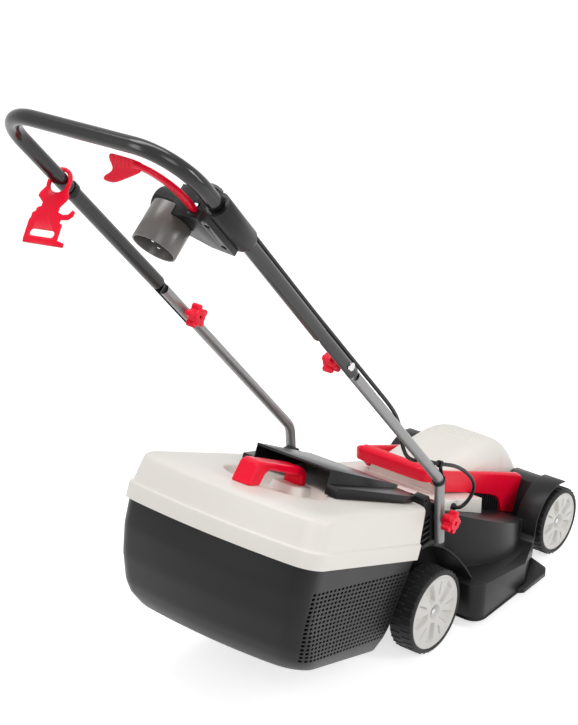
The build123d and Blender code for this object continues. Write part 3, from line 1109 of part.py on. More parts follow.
lever_route = [(LEVER_X, LEVER_PIVOT_S), (LEVER_X, LEVER_PIVOT_S + 34), (LEVER_X + 1, LEVER_PIVOT_S + 60),
               (LEVER_X - 11, LEVER_PIVOT_S + 93), (LEVER_X - 32, LEVER_PIVOT_S + 112), (PADDLE_OUTER_X - 2, PADDLE_S - 6)]
lever_plan = trace(Polyline(*lever_route), line_width=LEVER_WIDTH)
lever = Pos(0, 0, LEVER_DEPTH - LEVER_THICK / 2) * extrude(lever_plan, amount=LEVER_THICK)
lever += cross_bar(LEVER_HUB_R, LEVER_X - LEVER_WIDTH / 2, LEVER_X + LEVER_WIDTH / 2, LEVER_PIVOT_S, LEVER_DEPTH)
paddle_side = [(PADDLE_S, 8), (PADDLE_S + 3, 8), (PADDLE_S, 30), (PADDLE_S - 9, 41), (PADDLE_S - 26, 47),
               (PADDLE_S - 28, 43), (PADDLE_S - 13, 37), (PADDLE_S - 6, 28)]
lever += prism_yz(paddle_side, PADDLE_INNER_X, PADDLE_OUTER_X)
lever -= cross_bar(LEVER_PIN_R + RUN, 0, 300, LEVER_PIVOT_S, LEVER_DEPTH)
keep("switch_lever", on_handle(lever))

# ---------------------------------------------------------------- lead hook and collar on the left tube
hook_yaw = math.radians(HOOK_YAW)
hook_lean = math.radians(HOOK_LEAN)
hook_across = Vector(math.cos(hook_yaw), math.sin(hook_yaw), 0)
hook_down = Vector(math.sin(hook_yaw) * math.sin(hook_lean), -math.cos(hook_yaw) * math.sin(hook_lean),
                   -math.cos(hook_lean))
hook_place = HANDLE.location.position + Vector(*HANDLE_UP) * HANG_S
hook_place = Vector(-tube_x(HANG_S), hook_place.Y, hook_place.Z)
# Hook frame: x across the hook, y up it from the middle of the tube, z square to it.
HOOK = Plane(origin=hook_place, x_dir=hook_across, z_dir=hook_across.cross(hook_down * -1))
ring_centre = Pos(0, UPPER_TUBE_R + HOOK_HOLE_TOP - HOOK_HOLE_HEIGHT / 2)
hole = Rot(0, 0, 90) * SlotOverall(HOOK_HOLE_HEIGHT, 2 * HOOK_HOLE_HALF_WIDTH)
rim = Rot(0, 0, 90) * SlotOverall(HOOK_HOLE_HEIGHT + 2 * HOOK_RIM, 2 * (HOOK_HOLE_HALF_WIDTH + HOOK_RIM))
hook_face = ring_centre * rim
hook_face += make_face(Polyline(
    (-18, -12), (-27, -26), (-28, -32), (-17, -42), (-17, -48), (-24, -52), (-24, -57), (-29, -61), (-29, -70),
    (-31, -72), (-31, -104), (-30, -111), (40, -111), (40, -104), (27, -101), (27, -74), (22, -72), (22, -64),
    (14, -54), (14, -46), (22, -34), (24, -28), (18, -12), close=True))
hook_face += make_face(Polyline((12, -54), (24, -58), (33, -56), (38, -48), (42, -50), (41, -58), (34, -65),
                                (20, -67), (12, -64), close=True))
hook_face -= ring_centre * hole
hook_face -= Pos(-1.5, -92.5) * SlotOverall(43, 12)
lead_hook = Pos(0, 0, -HOOK_PLATE / 2) * extrude(hook_face, amount=HOOK_PLATE)
keep("cable_hook", HOOK.location * lead_hook)
band = along_tube(UPPER_TUBE_R + 2.5, HANG_S - 36, HANG_S - 24)
band -= along_tube(UPPER_TUBE_R + RUN, HANG_S - 40, HANG_S - 20)
keep("tube_collar", mirrored(on_handle(band)))


# ---------------------------------------------------------------- mains lead
def handle_point(x, s, depth):
    """Point given in the handle frame."""
    return HANDLE.from_local_coords(Vector(x, s, depth))


def lead(name, points):
    """Round lead along straight runs joined by arcs as large as the runs allow."""
    points = [Vector(*point) for point in points]
    radii = []
    for before, here, after in zip(points, points[1:], points[2:]):
        turn = math.radians((here - before).get_angle(after - here))
        shorter = min((here - before).length, (after - here).length)
        radii.append(0.45 * shorter / math.tan(turn / 2))
    path = FilletPolyline(*points, radius=radii) if radii else Line(*points)
    tube = sweep(Plane(origin=path @ 0, z_dir=path % 0) * Circle(CABLE_R), path=path)
    share = tube.volume / (math.pi * CABLE_R ** 2 * path.length)
    print(name, "radii", [round(radius) for radius in radii], "length", round(path.length), "share", round(share, 4))
    keep(name, tube)


fold_reach = SADDLE_ABOVE_FOLD + 3
upper_end = handle_point(tube_x(HOUSING_LOW_S + 5), HOUSING_LOW_S + 5, -CABLE_OFF)
upper_start = handle_point(TUBE_X + 0.5, fold_reach, -CABLE_OFF)
lower_start = handle_point(TUBE_X + 0.5, -fold_reach, -CABLE_OFF)
upper_turn = handle_point(TUBE_X + 0.5, fold_reach + 60, -CABLE_OFF)
lead("cable_upper_run", [upper_end, upper_turn, upper_start])
lead("cable_fold_bend", [upper_start, lower_start])
clip_in = Vector(170.5, 31, 369.5)
clip_out = Vector(174, 56, 358)
clip_middle = (clip_in + clip_out) * 0.5
lead("cable_lower_run", [
    lower_start,
    handle_point(TUBE_X + 0.5, -185, -CABLE_OFF),
    handle_point(166, -232, -16),
    handle_point(158.5, -270, -9),
    handle_point(155, -305, 5),
    handle_point(154.5, -336, 12.5),
    handle_point(156, -363, 7),
    handle_point(157.5, -386, -7),
    clip_in,
    clip_middle,
])
lead("cable_loop", [
    clip_middle,
    clip_out,
    (174, 90, 341),
    (172, 124, 317),
    (168, 156, 288),
    (163, 178, 259),
    (157, 181, 237),
    (150, 174, 219),
    (141, GLAND_Y, GLAND_Z),
    (COVER_HALF_WIDTH + GAP, GLAND_Y, GLAND_Z),
])
gland = cross_bar(GLAND_R, COVER_HALF_WIDTH, COVER_HALF_WIDTH + 4, GLAND_Y, GLAND_Z)
gland += cross_bar(GLAND_R - 2.5, COVER_HALF_WIDTH, COVER_HALF_WIDTH + 7, GLAND_Y, GLAND_Z)
gland -= cross_bar(CABLE_R + RUN, COVER_HALF_WIDTH + GAP, COVER_HALF_WIDTH + 20, GLAND_Y, GLAND_Z)
keep("cable_gland", gland)

bend_from = Vector(0, BEND_Y - LEG_FOOT_Y, BEND_Z - LEG_FOOT_Z).normalized()
bend_to = Vector(*HANDLE_UP)
bend_half = math.radians(bend_from.get_angle(bend_to)) / 2
bend_centre_way = (bend_to - bend_from).normalized()
bend_middle = Vector(TUBE_X, BEND_Y, BEND_Z) + bend_centre_way * (BEND_R * (1 / math.cos(bend_half) - 1))
strap = Plane(origin=bend_middle, x_dir=(1, 0, 0), z_dir=(bend_from + bend_to).normalized())
ring = disc(LOWER_TUBE_R + 3, -3, 3) - disc(LOWER_TUBE_R + 2 * GAP, -4, 4)
ring = strap.location * ring
holder = Plane(origin=clip_middle, z_dir=(clip_out - clip_in).normalized())
eye = holder.location * (disc(CABLE_R + 3, -4, 4))
strap_foot = bend_middle - bend_centre_way * (LOWER_TUBE_R + 1.8)
strap_side = [(strap_foot.Y - 1.2, strap_foot.Z), (strap_foot.Y + 1.2, strap_foot.Z - 1),
              (clip_middle.Y + 1.5, clip_middle.Z - CABLE_R - 1), (clip_middle.Y - 1.5, clip_middle.Z - CABLE_R - 1)]
clip = ring + eye + prism_yz(strap_side, TUBE_X - 3.5, TUBE_X + 3.5)
clip -= holder.location * disc(CABLE_R + RUN, -20, 20)
keep("cable_clip", clip)

# ---------------------------------------------------------------- export
boxes = [solid.bounding_box() for found in solids.values() for solid in found]
low_y = min(box.min.Y for box in boxes)
high_y = max(box.max.Y for box in boxes)
low_z = min(box.min.Z for box in boxes)
centre = Location((0, -(low_y + high_y) / 2, -low_z))
print("moved by", centre.position)
for name, found in solids.items():
    moved = [solid.moved(centre) for solid in found]
    shape = moved[0] if len(moved) == 1 else Compound(children=moved)
    export_step(shape, f"parts/{name}.step")
    print(name, len(moved), round(sum(solid.volume for solid in moved)))
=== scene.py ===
import json
import math

import bmesh
import bpy
from mathutils import Matrix, Vector


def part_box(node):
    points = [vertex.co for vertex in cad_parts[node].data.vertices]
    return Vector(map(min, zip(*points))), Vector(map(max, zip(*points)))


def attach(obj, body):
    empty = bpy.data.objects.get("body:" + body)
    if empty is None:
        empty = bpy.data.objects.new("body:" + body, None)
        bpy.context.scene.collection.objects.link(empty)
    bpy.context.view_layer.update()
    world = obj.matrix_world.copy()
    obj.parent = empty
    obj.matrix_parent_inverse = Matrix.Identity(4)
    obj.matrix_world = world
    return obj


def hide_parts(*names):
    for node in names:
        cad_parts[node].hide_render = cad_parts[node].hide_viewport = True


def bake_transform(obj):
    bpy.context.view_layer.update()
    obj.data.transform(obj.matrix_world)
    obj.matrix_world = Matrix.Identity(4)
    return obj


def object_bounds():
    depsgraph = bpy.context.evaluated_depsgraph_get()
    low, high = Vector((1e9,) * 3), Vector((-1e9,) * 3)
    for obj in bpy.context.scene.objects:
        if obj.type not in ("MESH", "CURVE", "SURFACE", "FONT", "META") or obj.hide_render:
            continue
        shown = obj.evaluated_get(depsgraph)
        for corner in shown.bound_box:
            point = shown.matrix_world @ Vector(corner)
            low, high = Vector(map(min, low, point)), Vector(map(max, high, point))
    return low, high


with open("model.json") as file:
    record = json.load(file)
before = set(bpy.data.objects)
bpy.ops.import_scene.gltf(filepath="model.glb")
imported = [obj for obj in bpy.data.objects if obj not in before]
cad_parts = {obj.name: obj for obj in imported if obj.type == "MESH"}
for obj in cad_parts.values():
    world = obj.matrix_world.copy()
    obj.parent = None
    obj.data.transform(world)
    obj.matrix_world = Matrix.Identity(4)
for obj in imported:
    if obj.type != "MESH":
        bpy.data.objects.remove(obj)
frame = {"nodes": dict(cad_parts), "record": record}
cad_low, cad_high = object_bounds()

# ---------------- sizes, in metres
HANDLE_ANGLE = math.radians(49.3)        # lean of the handle tubes above the floor
FOLD_POINT = Vector((0.0, -0.17724, 0.66914))
BOX_TILT = math.radians(24.0)            # lean of the grass box's rim
BOX_CORNER = Vector((0.0, 0.03875, 0.2))
BOX_LENGTH = 0.416
BOX_FRONT_HALF = 0.180
BOX_REAR_HALF = 0.218
BOX_BULGE = 0.024
LID_FRONT_HEIGHT = 0.098
LID_REAR_HEIGHT = 0.084
SHELL_WALL = 0.0025
TUB_FRONT_DEPTH = 0.190
TUB_REAR_DEPTH = 0.197
TUB_RIM = 0.012

# ---------------- colours, linear
OFF_WHITE = (0.80, 0.765, 0.715)
SIGNAL_RED = (0.86, 0.003, 0.030)
CHARCOAL = (0.013, 0.0125, 0.0135)
BLACK = (0.006, 0.006, 0.0065)
TYRE_BLACK = (0.013, 0.013, 0.0135)
RIM_GREY = (0.66, 0.645, 0.615)
TUBE_GREY = (0.28, 0.278, 0.28)
STEEL = (0.62, 0.62, 0.63)
BUTTON_GREY = (0.16, 0.155, 0.15)
INLET_GREY = (0.10, 0.092, 0.085)


# ---------------- shader groups
def feed(tree, socket, value):
    """Links a socket to another node's output, or sets its own value."""
    if isinstance(value, bpy.types.NodeSocket):
        tree.links.new(value, socket)
    else:
        socket.default_value = value


def fed(tree, node, values):
    """Feeds a node's named inputs; an underscore stands for a space."""
    for label, value in values.items():
        feed(tree, node.inputs[label.replace("_", " ")], value)
    return node


def add_node(tree, kind, **values):
    """New node with its named inputs fed."""
    return fed(tree, tree.nodes.new(kind), values)


def group_node(tree, group, **values):
    """A shader group's node; its inputs are fed as add_node's are."""
    node = tree.nodes.new("ShaderNodeGroup")
    node.node_tree = group
    return fed(tree, node, values)


def operate(tree, kind, operation, *values):
    """Maths node of one kind, fed in order."""
    node = tree.nodes.new(kind)
    node.operation = operation
    for socket, value in zip(node.inputs, values):
        feed(tree, socket, value)
    return node


def calculate(tree, operation, *values):
    """Output of a scalar maths node."""
    return operate(tree, "ShaderNodeMath", operation, *values).outputs[0]


def new_group(name, inputs, outputs):
    """Shader node group with named sockets; inputs hold (name, kind, default)."""
    group = bpy.data.node_groups.new(name, "ShaderNodeTree")
    for label, kind, default in inputs:
        socket = group.interface.new_socket(label, in_out="INPUT", socket_type=kind)
        socket.default_value = default
    for label, kind in outputs:
        group.interface.new_socket(label, in_out="OUTPUT", socket_type=kind)
    return group, group.nodes.new("NodeGroupInput").outputs, group.nodes.new("NodeGroupOutput").inputs


def bevel_node(tree, radius):
    """Normal of the surface as if its edges were rounded."""
    edge = add_node(tree, "ShaderNodeBevel", Radius=radius)
    edge.samples = 6
    return edge.outputs["Normal"]


def make_moulding_group():
    """Moulded plastic: rounded edges, cloudy tone, fine grain and a slightly uneven gloss."""
    group, given, result = new_group("Moulded surface", [
        ("Color", "NodeSocketColor", (0.5, 0.5, 0.5, 1)),
        ("Tone", "NodeSocketFloat", 0.06),
        ("Roughness", "NodeSocketFloat", 0.4),
        ("Unevenness", "NodeSocketFloat", 0.06),
        ("Grain Scale", "NodeSocketFloat", 900.0),
        ("Grain Depth", "NodeSocketFloat", 0.00004),
        ("Edge Radius", "NodeSocketFloat", 0.0012),
    ], [("Color", "NodeSocketColor"), ("Roughness", "NodeSocketFloat"), ("Normal", "NodeSocketVector")])
    place = add_node(group, "ShaderNodeTexCoord").outputs["Object"]
    cloud = add_node(group, "ShaderNodeTexNoise", Vector=place, Scale=14.0, Detail=4.0)
    centred = calculate(group, "SUBTRACT", cloud.outputs["Fac"], 0.5)
    value = calculate(group, "ADD", calculate(group, "MULTIPLY", centred, given["Tone"]), 1.0)
    tone = add_node(group, "ShaderNodeHueSaturation", Color=given["Color"], Value=value)
    feed(group, result["Color"], tone.outputs["Color"])
    patch = calculate(group, "MULTIPLY", centred, given["Unevenness"])
    feed(group, result["Roughness"], calculate(group, "ADD", patch, given["Roughness"]))
    grain = add_node(group, "ShaderNodeTexNoise", Vector=place, Scale=given["Grain Scale"], Detail=2.0)
    bump = add_node(group, "ShaderNodeBump", Strength=1.0, Distance=given["Grain Depth"],
                    Height=grain.outputs["Fac"], Normal=bevel_node(group, given["Edge Radius"]))
    feed(group, result["Normal"], bump.outputs["Normal"])
    return group


def make_wear_and_edge_highlight_group():
    """Paler tone along edges, standing partly for rubbing and partly for a painted edge highlight."""
    group, given, result = new_group("Worn edges and painted edge highlight", [
        ("Color", "NodeSocketColor", (0.5, 0.5, 0.5, 1)),
        ("Worn Color", "NodeSocketColor", (0.6, 0.6, 0.6, 1)),
        ("Radius", "NodeSocketFloat", 0.002),
        ("Amount", "NodeSocketFloat", 0.4),
    ], [("Color", "NodeSocketColor")])
    flat = add_node(group, "ShaderNodeNewGeometry").outputs["Normal"]
    # Mask of rounded edges: the paler tone it brings is partly rubbing and partly a painted highlight along
    # the edges.
    dot = operate(group, "ShaderNodeVectorMath", "DOT_PRODUCT", bevel_node(group, given["Radius"]), flat)
    turn = calculate(group, "SUBTRACT", 1.0, dot.outputs["Value"])
    sharp = calculate(group, "MULTIPLY", turn, 6.0)
    place = add_node(group, "ShaderNodeTexCoord").outputs["Object"]
    edge_break_noise = add_node(group, "ShaderNodeTexNoise", Vector=place, Scale=60.0)
    broken = calculate(group, "MULTIPLY", sharp, edge_break_noise.outputs["Fac"])
    amount = calculate(group, "MINIMUM", calculate(group, "MULTIPLY", broken, given["Amount"]), 1.0)
    mix = group.nodes.new("ShaderNodeMix")
    mix.data_type = "RGBA"
    for label, value in (("Factor", amount), ("A", given["Color"]), ("B", given["Worn Color"])):
        feed(group, mix.inputs[label], value)
    feed(group, result["Color"], mix.outputs["Result"])
    return group


MOULDING = make_moulding_group()
WEAR_AND_EDGE_HIGHLIGHT = make_wear_and_edge_highlight_group()


def finish_material(name, color, roughness, tone=0.06, unevenness=0.08, grain_scale=900.0,
                    grain_depth=0.00004, edge=0.0012, metallic=0.0, specular=0.3, worn_and_highlight_color=None, wear_and_highlight_amount=0.35):
    """Principled material fed by the moulding group and by the group that pales edges, partly for rubbing and
    partly as a painted edge highlight.
    """
    material = bpy.data.materials.new(name)
    material.use_nodes = True
    tree = material.node_tree
    surface = group_node(tree, MOULDING, Color=(*color, 1), Tone=tone, Roughness=roughness,
                         Unevenness=unevenness, Grain_Scale=grain_scale, Grain_Depth=grain_depth,
                         Edge_Radius=edge)
    paint = surface.outputs["Color"]
    # Paler edges: partly rubbing, partly a painted edge highlight.
    if worn_and_highlight_color:
        paint = group_node(tree, WEAR_AND_EDGE_HIGHLIGHT, Color=paint, Worn_Color=(*worn_and_highlight_color, 1), Amount=wear_and_highlight_amount).outputs["Color"]
    shader = tree.nodes["Principled BSDF"]
    for label, value in (("Base Color", paint), ("Roughness", surface.outputs["Roughness"]),
                         ("Normal", surface.outputs["Normal"]), ("Metallic", metallic),
                         ("Specular IOR Level", specular)):
        feed(tree, shader.inputs[label], value)
    return material


# In each material below, the worn colour is the paler tone of its edges, which stands partly for rubbing and
# partly for a painted edge highlight.
OFF_WHITE_SHELL = finish_material("Off-white shell", OFF_WHITE, 0.38, tone=0.03, specular=0.35,
                                  worn_and_highlight_color=(0.88, 0.85, 0.80), wear_and_highlight_amount=0.3)
RED_GLOSS = finish_material("Signal red moulding", SIGNAL_RED, 0.25, tone=0.05, grain_depth=0.00001,
                            specular=0.22, worn_and_highlight_color=(0.95, 0.06, 0.08), wear_and_highlight_amount=0.3)
CHARCOAL_SATIN = finish_material("Charcoal moulding", CHARCOAL, 0.36, tone=0.14, grain_depth=0.00004,
                                 specular=0.22, worn_and_highlight_color=(0.10, 0.10, 0.105), wear_and_highlight_amount=0.4)
BLACK_SATIN = finish_material("Black moulding", BLACK, 0.30, tone=0.12, grain_depth=0.00003, specular=0.24,
                              worn_and_highlight_color=(0.08, 0.08, 0.085), wear_and_highlight_amount=0.45)
RUBBER = finish_material("Tyre tread", TYRE_BLACK, 0.52, tone=0.2, grain_scale=500.0, grain_depth=0.00008,
                         specular=0.3, worn_and_highlight_color=(0.09, 0.09, 0.09), wear_and_highlight_amount=0.5)
RIM_PLASTIC = finish_material("Pale grey rim", RIM_GREY, 0.30, tone=0.05, specular=0.4,
                              worn_and_highlight_color=(0.82, 0.81, 0.79), wear_and_highlight_amount=0.3)
BLACK_ENAMEL = finish_material("Black enamel", BLACK, 0.19, tone=0.10, grain_scale=260.0, grain_depth=0.00001,
                               specular=0.5)
GREY_ENAMEL = finish_material("Grey enamel", TUBE_GREY, 0.30, tone=0.08, grain_scale=300.0,
                              grain_depth=0.00002, metallic=0.5)
BRIGHT_STEEL = finish_material("Bright steel", STEEL, 0.24, tone=0.05, grain_depth=0.00001, edge=0.0004,
                               metallic=1.0)
DULL_STEEL = finish_material("Zinc plate", (0.42, 0.42, 0.43), 0.42, metallic=1.0)
IRON = finish_material("Laminated iron", (0.14, 0.11, 0.09), 0.55, tone=0.3, grain_scale=300.0)
LEAD_SHEATH = finish_material("Lead sheath", BLACK, 0.40, tone=0.1, grain_scale=600.0)
INLET_PLASTIC = finish_material("Inlet collar", INLET_GREY, 0.30, tone=0.08, specular=0.6)
BUTTON_PLASTIC = finish_material("Grey button", BUTTON_GREY, 0.42)
ALLOY = finish_material("Cast alloy", (0.55, 0.55, 0.56), 0.45, grain_depth=0.0001, metallic=1.0)

SLOT_FINISH = {
    "tyre": RUBBER, "rim_plastic": RIM_PLASTIC, "axle_steel": BRIGHT_STEEL, "deck_plastic": CHARCOAL_SATIN,
    "flap_plastic": BLACK_SATIN, "light_shell": OFF_WHITE_SHELL, "red_plastic": RED_GLOSS,
    "tub_plastic": CHARCOAL_SATIN, "lower_tube_coat": GREY_ENAMEL, "handle_coat": BLACK_ENAMEL,
    "housing_plastic": BLACK_SATIN, "inlet_plastic": INLET_PLASTIC, "button_plastic": BUTTON_PLASTIC,
    "cable_sheath": LEAD_SHEATH, "motor_steel": DULL_STEEL, "motor_iron": IRON, "machined_steel": BRIGHT_STEEL,
    "fan_plastic": BLACK_SATIN, "holder_alloy": ALLOY, "capacitor_case": DULL_STEEL, "blade_steel": DULL_STEEL,
}
node_slot = {part["node"]: part["material_slot"] for part in frame["record"]["subparts"]}
bodies = frame["record"]["behaviour"]["bodies"]
body_of_node = {node: body for body, names in bodies.items() for node in names}
for node, slot_name in node_slot.items():
    solid = frame["nodes"][node]
    for material_slot in solid.material_slots:
        material_slot.material = SLOT_FINISH[slot_name]


# ---------------- mesh helpers
def smooth_by_angle(mesh, degrees):
    for face in mesh.polygons:
        face.use_smooth = True
    mesh.set_sharp_from_angle(angle=math.radians(degrees))


def linked(name, data):
    """New object in the scene."""
    thing = bpy.data.objects.new(name, data)
    bpy.context.collection.objects.link(thing)
    return thing


def made_mesh(thing):
    """Mesh of an object as its modifiers or curve settings leave it."""
    bpy.context.view_layer.update()
    return bpy.data.meshes.new_from_object(thing.evaluated_get(bpy.context.evaluated_depsgraph_get()))


def new_piece(name, body, slot_name, mesh, replaced=()):
    """Piece at the origin that rides on a body and takes its finish from a slot."""
    piece = linked(name, mesh)
    if not mesh.materials:
        mesh.materials.append(SLOT_FINISH[slot_name])
    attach(piece, body)
    if replaced:
        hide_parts(*replaced)
    return piece


def mesh_from(shape, name, sharp_degrees=35.0):
    """Ordinary mesh from a bmesh, with outward faces."""
    bmesh.ops.remove_doubles(shape, verts=shape.verts, dist=0.000005)
    bmesh.ops.recalc_face_normals(shape, faces=shape.faces)
    mesh = bpy.data.meshes.new(name)
    shape.to_mesh(mesh)
    shape.free()
    smooth_by_angle(mesh, sharp_degrees)
    return mesh


def baked(piece, sharp_degrees=35.0):
    """Applies a piece's modifiers."""
    ready = made_mesh(piece)
    piece.modifiers.clear()
    piece.data = ready
    smooth_by_angle(ready, sharp_degrees)


def thickened(piece, thickness, sharp_degrees, even=False):
    """Gives a sheet its wall, inwards from its outer face."""
    wall = piece.modifiers.new("wall", "SOLIDIFY")
    wall.thickness = thickness
    wall.offset = -1.0
    wall.use_even_offset = even
    baked(piece, sharp_degrees)


def rounded_copy(node, width, move=None, sharp_degrees=40.0):
    """Copy of a CAD node with rounded edges, which stands for it; move changes the place of each point."""
    mesh = frame["nodes"][node].data.copy()
    shape = bmesh.new()
    shape.from_mesh(mesh)
    bmesh.ops.remove_doubles(shape, verts=shape.verts, dist=0.00002)
    bmesh.ops.dissolve_limit(shape, angle_limit=math.radians(0.8), verts=shape.verts, edges=shape.edges)
    if move:
        for vert in shape.verts:
            vert.co = move(vert.co)
    shape.to_mesh(mesh)
    shape.free()
    piece = new_piece(node + "_skin", body_of_node[node], node_slot[node], mesh, (node,))
    rounding = piece.modifiers.new("rounding", "BEVEL")
    rounding.width = width
    rounding.segments = 2
    rounding.limit_method = "ANGLE"
    rounding.angle_limit = math.radians(32.0)
    rounding.use_clamp_overlap = True
    baked(piece, sharp_degrees)
    return piece


def join_loops(shape, low, high):
    """Band of faces between two closed loops of vertices."""
    for i in range(len(low)):
        j = (i + 1) % len(low)
        shape.faces.new((low[i], low[j], high[j], high[i]))


def add_loop(shape, points):
    return [shape.verts.new(point) for point in points]


def close_loop(shape, loop, point):
    """Fan of faces from a closed loop to one point."""
    middle = shape.verts.new(point)
    for i in range(len(loop)):
        shape.faces.new((loop[i], loop[(i + 1) % len(loop)], middle))


def add_bands(shape, rings, closed=False):
    """Bands of faces along a row of point loops, and from the last back to the first where closed."""
    loops = [add_loop(shape, ring) for ring in rings]
    for low, high in zip(loops, loops[1:] + (loops[:1] if closed else [])):
        join_loops(shape, low, high)
    return loops


def add_skin(shape, rings):
    """Closed skin over a row of point loops: bands, and a face at each end."""
    loops = add_bands(shape, rings)
    shape.faces.new(loops[0])
    shape.faces.new(list(reversed(loops[-1])))


def add_grid(shape, rows):
    """Sheet of faces over rows of points."""
    grid = [add_loop(shape, row) for row in rows]
    for low, high in zip(grid, grid[1:]):
        for i in range(len(low) - 1):
            shape.faces.new((low[i], low[i + 1], high[i + 1], high[i]))


def spread(count, first=0.0, last=1.0):
    return [first + (last - first) * i / (count - 1) for i in range(count)]


def turns(count):
    """Angles of evenly spaced points round a circle."""
    return [2 * math.pi * i / count for i in range(count)]


def arc(x, y, radius, first, last, count):
    """Points of an arc; its ends are in degrees."""
    return [(x + radius * math.cos(turn), y + radius * math.sin(turn))
            for turn in spread(count, math.radians(first), math.radians(last))]


def heading(path, i):
    """Direction of a path at its point i."""
    return (Vector(path[min(len(path) - 1, i + 1)]) - Vector(path[max(0, i - 1)])).normalized()


# ---------------- grass box
def box_point(x, v, w):
    """Point of the grass box's own frame: x across, v forward along the rim, w up out of it."""
    return BOX_CORNER + Vector((x, v * math.cos(BOX_TILT) + w * math.sin(BOX_TILT),
                                w * math.cos(BOX_TILT) - v * math.sin(BOX_TILT)))


REAR_STEPS = 14


def box_half_outline(front_v, side_in, rear_in, corner_r, stops=(), column_reach=0.0, front_steps=6):
    """Right half of the box's plan from the front middle to the rear middle.

    The side runs straight to a round corner, and the rear wall is one shallow arc. Points on the side stand
    at shares of its length, or in even columns that reach a share of the way round the corner."""
    front_half = BOX_FRONT_HALF - side_in
    rear_half = BOX_REAR_HALF - side_in
    rear_v = BOX_BULGE - BOX_LENGTH + rear_in
    bulge_r = (rear_half ** 2 + BOX_BULGE ** 2) / (2 * BOX_BULGE)
    bulge_centre = Vector((0.0, rear_v - BOX_BULGE + bulge_r))
    start = Vector((front_half, front_v))
    along = (Vector((rear_half, rear_v)) - start).normalized()
    inward = Vector((along.y, -along.x))
    offset = start + inward * corner_r - bulge_centre
    lean = offset.dot(along)
    run = -lean + math.sqrt(lean ** 2 - offset.length_squared + (bulge_r - corner_r) ** 2)
    corner_centre = start + inward * corner_r + along * run
    points = [Vector((front_half * i / front_steps, front_v)) for i in range(front_steps)]
    first = math.atan2(-inward.y, -inward.x)
    out = corner_centre - bulge_centre
    last = math.atan2(out.y, out.x)
    sweep = corner_r * (first - last)
    if column_reach:
        stations = spread(HOLE_COLUMNS + 1, 0.007, run + column_reach * sweep)
        places = [0.0] + stations + spread(9, stations[-1], run + sweep)[1:]
    else:
        places = [run * stop for stop in stops] + [run + sweep * i / 12 for i in range(1, 13)]
    for place in places:
        if place <= run:
            points.append(start + along * place)
        else:
            turn = first - (place - run) / corner_r
            points.append(corner_centre + corner_r * Vector((math.cos(turn), math.sin(turn))))
    for turn in spread(REAR_STEPS + 1, last, -math.pi / 2)[1:]:
        points.append(bulge_centre + bulge_r * Vector((math.cos(turn), math.sin(turn))))
    return points


def both_sides(half):
    """Whole loop from the right half of an outline, whose ends lie on the middle line."""
    return half + [Vector((-point.x, point.y)) for point in reversed(half[1:-1])]


def box_loop(half, height_at):
    """Whole loop in the shared frame from its right half; height_at gives w from v."""
    return [box_point(point.x, point.y, height_at(point.y)) for point in both_sides(half)]


def smooth_path(corners, steps=6):
    """Points of a quadratic B-spline through a control polygon, which rounds every corner."""
    padded = [corners[0]] + list(corners) + [corners[-1]]
    path = []
    for a, b, c in zip(padded, padded[1:], padded[2:]):
        for i in range(steps):
            t = i / steps
            weights = ((1 - t) ** 2 / 2, (1 + 2 * t - 2 * t * t) / 2, t * t / 2)
            path.append(tuple(weights[0] * p + weights[1] * q + weights[2] * r for p, q, r in zip(a, b, c)))
    path.append(tuple(corners[-1]))
    return path


def lid_top(v):
    return LID_FRONT_HEIGHT + (LID_FRONT_HEIGHT - LID_REAR_HEIGHT) / BOX_LENGTH * v


DISH_V = -0.241
DISH_HALF_LENGTH = 0.070
DISH_HALF_WIDTH = 0.105
DISH_DEPTH = 0.018
# Share of the dish's outline and depth below the lid, from the rim to the flat bottom.
DISH_PROFILE = [(1.05, 0.0), (1.02, 0.0005), (1.0, 0.0022), (0.985, 0.005), (0.965, 0.011), (0.945, 0.0155),
                (0.91, 0.0175), (0.85, DISH_DEPTH), (0.6, DISH_DEPTH), (0.3, DISH_DEPTH)]
LID_CORNER_R = 0.044
LID_STOPS = spread(14)


